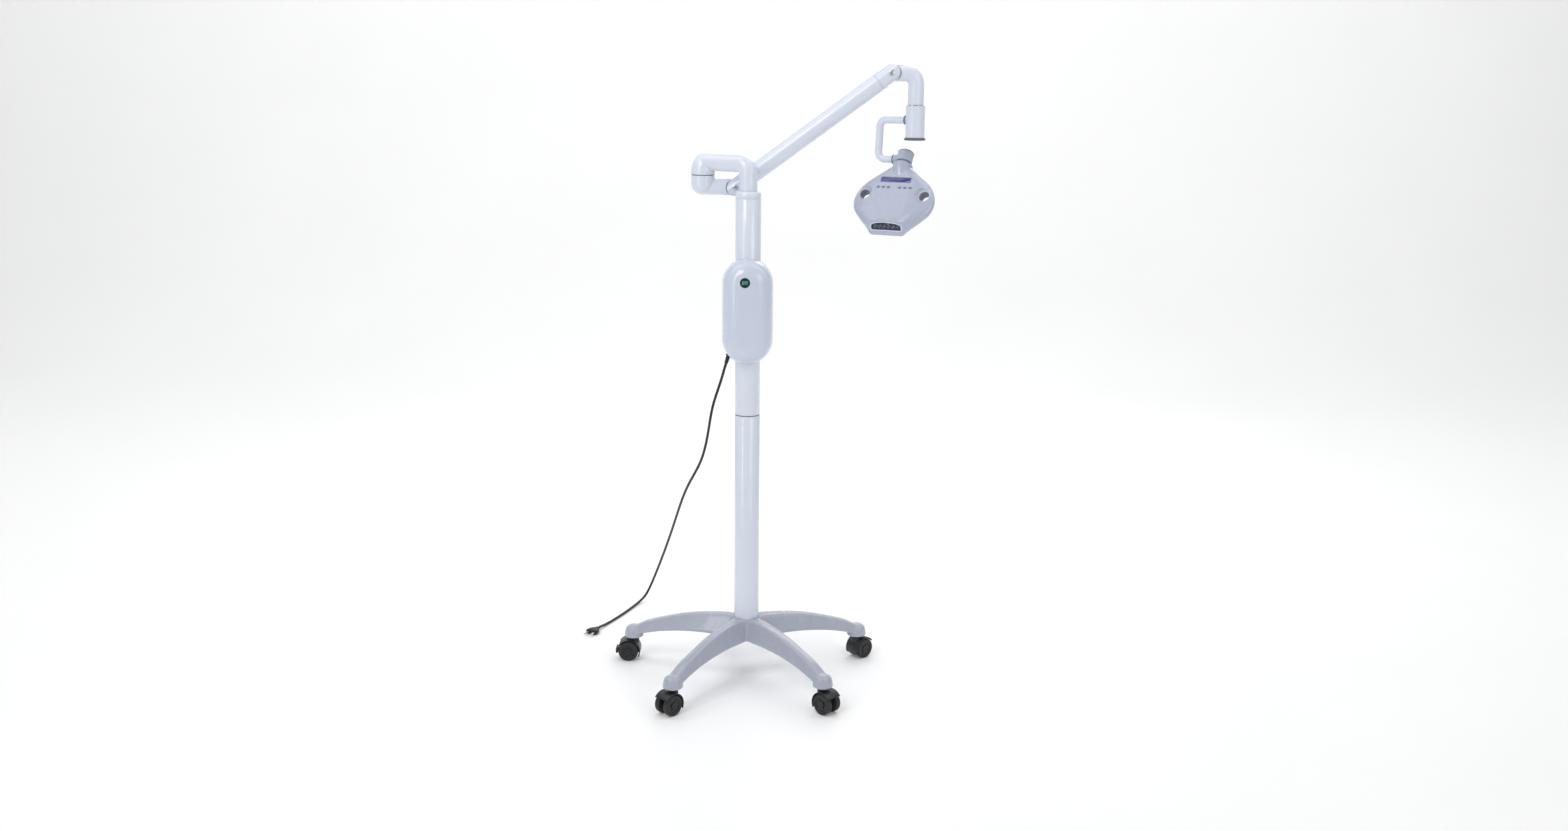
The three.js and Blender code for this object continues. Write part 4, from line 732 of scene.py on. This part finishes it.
def pillow(levels, inset=0.0, thin=THIN):
    rings = []
    for s, h in levels:
        ring = []
        for w, l in outl:
            dl = l - CL
            k = math.hypot(w, dl)
            q = max(0, s - inset / k)
            x, y = w * q, CL + dl * q
            ring.append((x, -y, h * (1 - thin * smooth(35, 98, abs(x))) if h > 0 else h))
        rings.append(ring)
    return rings


def curve_levels(lv, per=5):
    return [(p.x, p.y) for p in catmull([(a, b, 0) for a, b in lv], per)]


# front: parting line bevel, rounded shoulder, level panel
fl = [(0.975, SPLIT), (0.984, SPLIT + 0.5)] + curve_levels([(0.99, -6.6), (1.0, -1), (0.975, 6.5), (0.91, 13), (0.8, 16.8), (0.68, PH)]) + [(0.6, PH), (0.5, PH), (0.38, PH), (0.25, PH), (0.12, PH)]
bl = [(0.975, SPLIT - 0.3), (0.983, SPLIT - 0.9)] + curve_levels([(0.98, -9.8), (0.93, -17), (0.8, -24.2), (0.55, -28)]) + [(0.45, -28), (0.3, -28), (0.12, -28)]
front, back = loft(pillow(fl), HM), loft(pillow(bl), HM)
CH = basis((1, 0, 0), (0, 0, -1), (0, 1, 0), (0, 0, 0))
collar = lambda: lathe([(0, -62), (15, -62), (18.5, -50), (22.4, -38), (23.3, -26), (23.6, -16), (23.2, -15.2), (22.6, -15), (0, -15)], 72, HM @ CH)
fops = [('UNION', combine(collar(), [('INTERSECT', block(-40, 40, -80, 0, SPLIT, 40, HM))]))]
bops = [('UNION', combine(collar(), [('INTERSECT', block(-40, 40, -80, 0, -40, SPLIT - 0.3, HM))]))]
bore = lambda: cyl(20.0, -32, 5, 72, HM @ CH)
fops.append(('DIFFERENCE', bore())); bops.append(('DIFFERENCE', bore()))
fops.append(('DIFFERENCE', cyl(15.2, -33, 5, 48, HM @ CH))); bops.append(('DIFFERENCE', cyl(15.2, -33, 5, 48, HM @ CH)))
for s in (-1, 1):
    at = HM @ T(s * 74.5, -98, 0)
    hole = lambda: lathe([(0, -60), (19, -60), (19, -31), (16.6, -27.5), (14.2, -24), (12.9, -21), (12.5, -18), (12.5, 4), (13.0, 6.5), (14.4, 9), (16.8, 11.5), (20, 15.5), (20, 60), (0, 60)], 72, at)
    fops.append(('DIFFERENCE', hole())); bops.append(('DIFFERENCE', hole()))
q45 = math.sqrt(0.5)
NM = HM @ basis((1, 0, 0), (0, q45, q45), (0, -q45, q45), (0, -(189.7 - 7), 7))
beyond = lambda: block(-120, 120, -60, 60, 0, 80, NM)
fops.append(('DIFFERENCE', beyond())); bops.append(('DIFFERENCE', beyond()))


def window(hw, lo, hi, n=28):
    return rounded([(-hw, lo), (hw, lo)] + [(hw * cos(pi * k / n), 2 + (hi - 2) * sin(pi * k / n)) for k in range(n + 1)], [2, 2] + [0] * (n + 1), 5)


fops.append(('DIFFERENCE', prism(window(39.6, -9.6, 12.4), -2.6, 5, NM)))
fops.append(('DIFFERENCE', prism(window(36.5, -7.4, 10.2), -13, 5, NM)))
lcd_o = lambda e: rounded([(-37.9 - e, -70.9 - e), (37.9 + e, -70.9 - e), (37.9 + e, -57.1 + e), (-37.9 - e, -57.1 + e)], 1.6)
fops.append(('DIFFERENCE', prism(lcd_o(0.3), PH - 1.7, PH + 5, HM)))
BX, BY = [-40, -27, -14, 14, 27, 40], -84
for x in BX:
    fops.append(('DIFFERENCE', prism(rounded([(x - 4.1, BY - 2.4), (x + 4.1, BY - 2.4), (x + 4.1, BY + 2.4), (x - 4.1, BY + 2.4)], 1.4), PH - 5.5, PH + 5, HM)))
finish(combine(front, fops), "head_front_moulding", 'shell', "head", "head_front_shell", sharp=28)
finish(combine(back, bops), "head_back_moulding", 'shell', "head", "head_back_shell", sharp=28)
# dark liners (painted shade on the inner walls) and pale lips of the finger holes
for s, nm in ((-1, "left"), (1, "right")):
    at = HM @ T(s * 74.5, -98, 0)
    finish(lathe([(12.0, -19), (12.4, -19), (12.4, 4.2), (12.0, 4.2), (12.0, -19)], 72, at), "finger_hole_liner_" + nm, 'bore', "head", sharp=40)
    finish(lathe([(12.1, 4.3), (12.5, 3.9), (13.4, 5.9), (14.9, 8.3), (14.7, 9.0), (13.9, 8.9), (12.7, 6.9), (12.1, 4.3)], 72, at), "finger_hole_lip_" + nm, 'rim', "head", sharp=40)

# display: dark glass with a frame
finish(prism(lcd_o(-0.1), PH - 1.4, PH - 0.1, HM), "display_panel", 'lcd', "head", "lcd_window", bevel=0.25)
fr = combine(prism(lcd_o(0.25), PH - 1.2, PH + 0.22, HM), [('DIFFERENCE', prism(rounded([(-35.6, -69.0), (35.6, -69.0), (35.6, -59.0), (-35.6, -59.0)], 1.0), PH - 3, PH + 3, HM))])
finish(fr, "display_frame", 'lcd_frame', "head", sharp=40, bevel=0.12, seg=1)

# six keys with plain marks
KN = ['power', 'start', 'pause', 'time_down', 'time_up', 'mode']
for x, nm in zip(BX, KN):
    kb = "key_" + nm
    finish(prism(rounded([(x - 3.75, BY - 2.05), (x + 3.75, BY - 2.05), (x + 3.75, BY + 2.05), (x - 3.75, BY + 2.05)], 1.2), PH - 4, PH + 0.95, HM), kb + "_cap", 'key', kb, kb, bevel=0.35)
    z0, z1 = PH + 0.6, PH + 1.0
    if nm == 'power':
        shp = [lathe([(0.75, z0), (1.15, z0), (1.15, z1), (0.75, z1), (0.75, z0)], 24, HM @ T(x, BY, 0))]
    elif nm == 'start':
        shp = [prism([(x - 1.0, BY - 1.1), (x + 1.2, BY), (x - 1.0, BY + 1.1)], z0, z1, HM)]
    elif nm == 'pause':
        shp = [block(x - 1.1, x - 0.35, BY - 1.0, BY + 1.0, z0, z1, HM), block(x + 0.35, x + 1.1, BY - 1.0, BY + 1.0, z0, z1, HM)]
    elif nm == 'time_down':
        shp = [block(x - 1.3, x + 1.3, BY - 0.3, BY + 0.3, z0, z1, HM)]
    elif nm == 'time_up':
        shp = [block(x - 1.3, x + 1.3, BY - 0.3, BY + 0.3, z0, z1, HM), block(x - 0.3, x + 0.3, BY - 1.2, BY + 1.2, z0, z1, HM)]
    else:
        shp = [block(x - 1.2, x + 1.2, BY + k - 0.2, BY + k + 0.2, z0, z1, HM) for k in (-0.9, 0, 0.9)]
    for i, b in enumerate(shp):
        finish(b, "%s_mark_%d" % (kb, i), 'mark', kb)

# smoked window, its rim and the six reflectors behind it
finish(prism(window(39.3, -9.3, 12.1), -2.3, -0.9, NM), "smoked_window", 'smoke', "head", "light_window", bevel=0.2)
rimp = combine(prism(window(39.5, -9.5, 12.3), -2.4, -0.02, NM), [('DIFFERENCE', prism(window(37.2, -7.6, 10.4), -6, 4, NM))])
finish(rimp, "window_rim", 'rim', "head", bevel=0.3)
brd = block(-33, 33, -5.6, 5.6, -10.5, -9.4, NM)
finish(brd, "reflector_board", 'ring', "head", "led_reflector_board")
for i in range(6):
    m = NM @ T(-27.5 + 11 * i, 0, 0)
    finish(lathe([(1.6, -9.3), (3.0, -9.0), (4.2, -7.0), (5.1, -4.2), (5.35, -4.2), (4.6, -7.0), (3.4, -9.4), (1.6, -9.3)], 40, m), "reflector_%d" % i, 'chrome', "head", sharp=40)
    finish(lathe([(0, -9.4), (1.7, -9.4), (1.7, -8.6), (1.2, -7.6), (0.5, -7.1), (0, -7.0)], 24, m), "led_%d" % i, 'led', "head", sharp=40)

# hidden boards and the levelling link keep their CAD shapes
for node, m in (("control_board", 'pcb'), ("power_supply_module", 'pcb'), ("levelling_link_rod", 'steel')):
    o = bpy.data.objects.get(node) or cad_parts[node]
    if hasattr(o, "data"):
        if o.material_slots:
            for s_ in o.material_slots:
                s_.material = MAT[m]
        else:
            o.data.materials.append(MAT[m])

# ------------------------------------------------------------------ floor, backdrop and light
def stage_piece(name, verts, faces, m):
    me = bpy.data.meshes.new(name)
    me.from_pydata(verts, [], faces)
    ob = bpy.data.objects.new(name, me)
    bpy.context.scene.collection.objects.link(ob)
    me.materials.append(m)
    for p in me.polygons:
        p.use_smooth = True
    return ob


floor_mat = mat("studio_floor", (0.94, 0.94, 0.94), 0.6, vary=0.01, scale=2, bump=0.0, emit=(1, 1, 1, 0.07))
sv, sf = [], []
prof = [(-7, 0.0), (3.2, 0.0)] + [(3.2 + 1.6 * sin(rad(a)), 1.6 - 1.6 * cos(rad(a))) for a in range(10, 91, 10)] + [(4.8, 6.5)]
for i, (y, z) in enumerate(prof):
    sv += [(-9, y, z), (9, y, z)]
    if i:
        sf.append((2 * i - 2, 2 * i - 1, 2 * i + 1, 2 * i))
stage_piece("studio_floor", sv, sf, floor_mat)

world = bpy.data.worlds.new("studio")
bpy.context.scene.world = world
world.use_nodes = True
world.node_tree.nodes["Background"].inputs["Color"].default_value = (0.97, 0.98, 1.0, 1)
world.node_tree.nodes["Background"].inputs["Strength"].default_value = WORLD


def area(name, at, aim, size, power, color=(1, 1, 1), size_y=None):
    li = bpy.data.lights.new(name, 'AREA')
    li.energy, li.color, li.size = power, color, size
    if size_y:
        li.shape, li.size_y = 'RECTANGLE', size_y
    ob = bpy.data.objects.new(name, li)
    bpy.context.scene.collection.objects.link(ob)
    d = (V(aim) - V(at)).normalized()
    ob.matrix_world = Matrix.Translation(at) @ d.to_track_quat('-Z', 'Y').to_matrix().to_4x4()
    return ob


for spec in LIGHTS:
    area(*spec)
bpy.context.scene.view_settings.view_transform = 'Standard'
bpy.context.scene.view_settings.look = 'None'
bpy.context.scene.view_settings.exposure = EXPOSURE
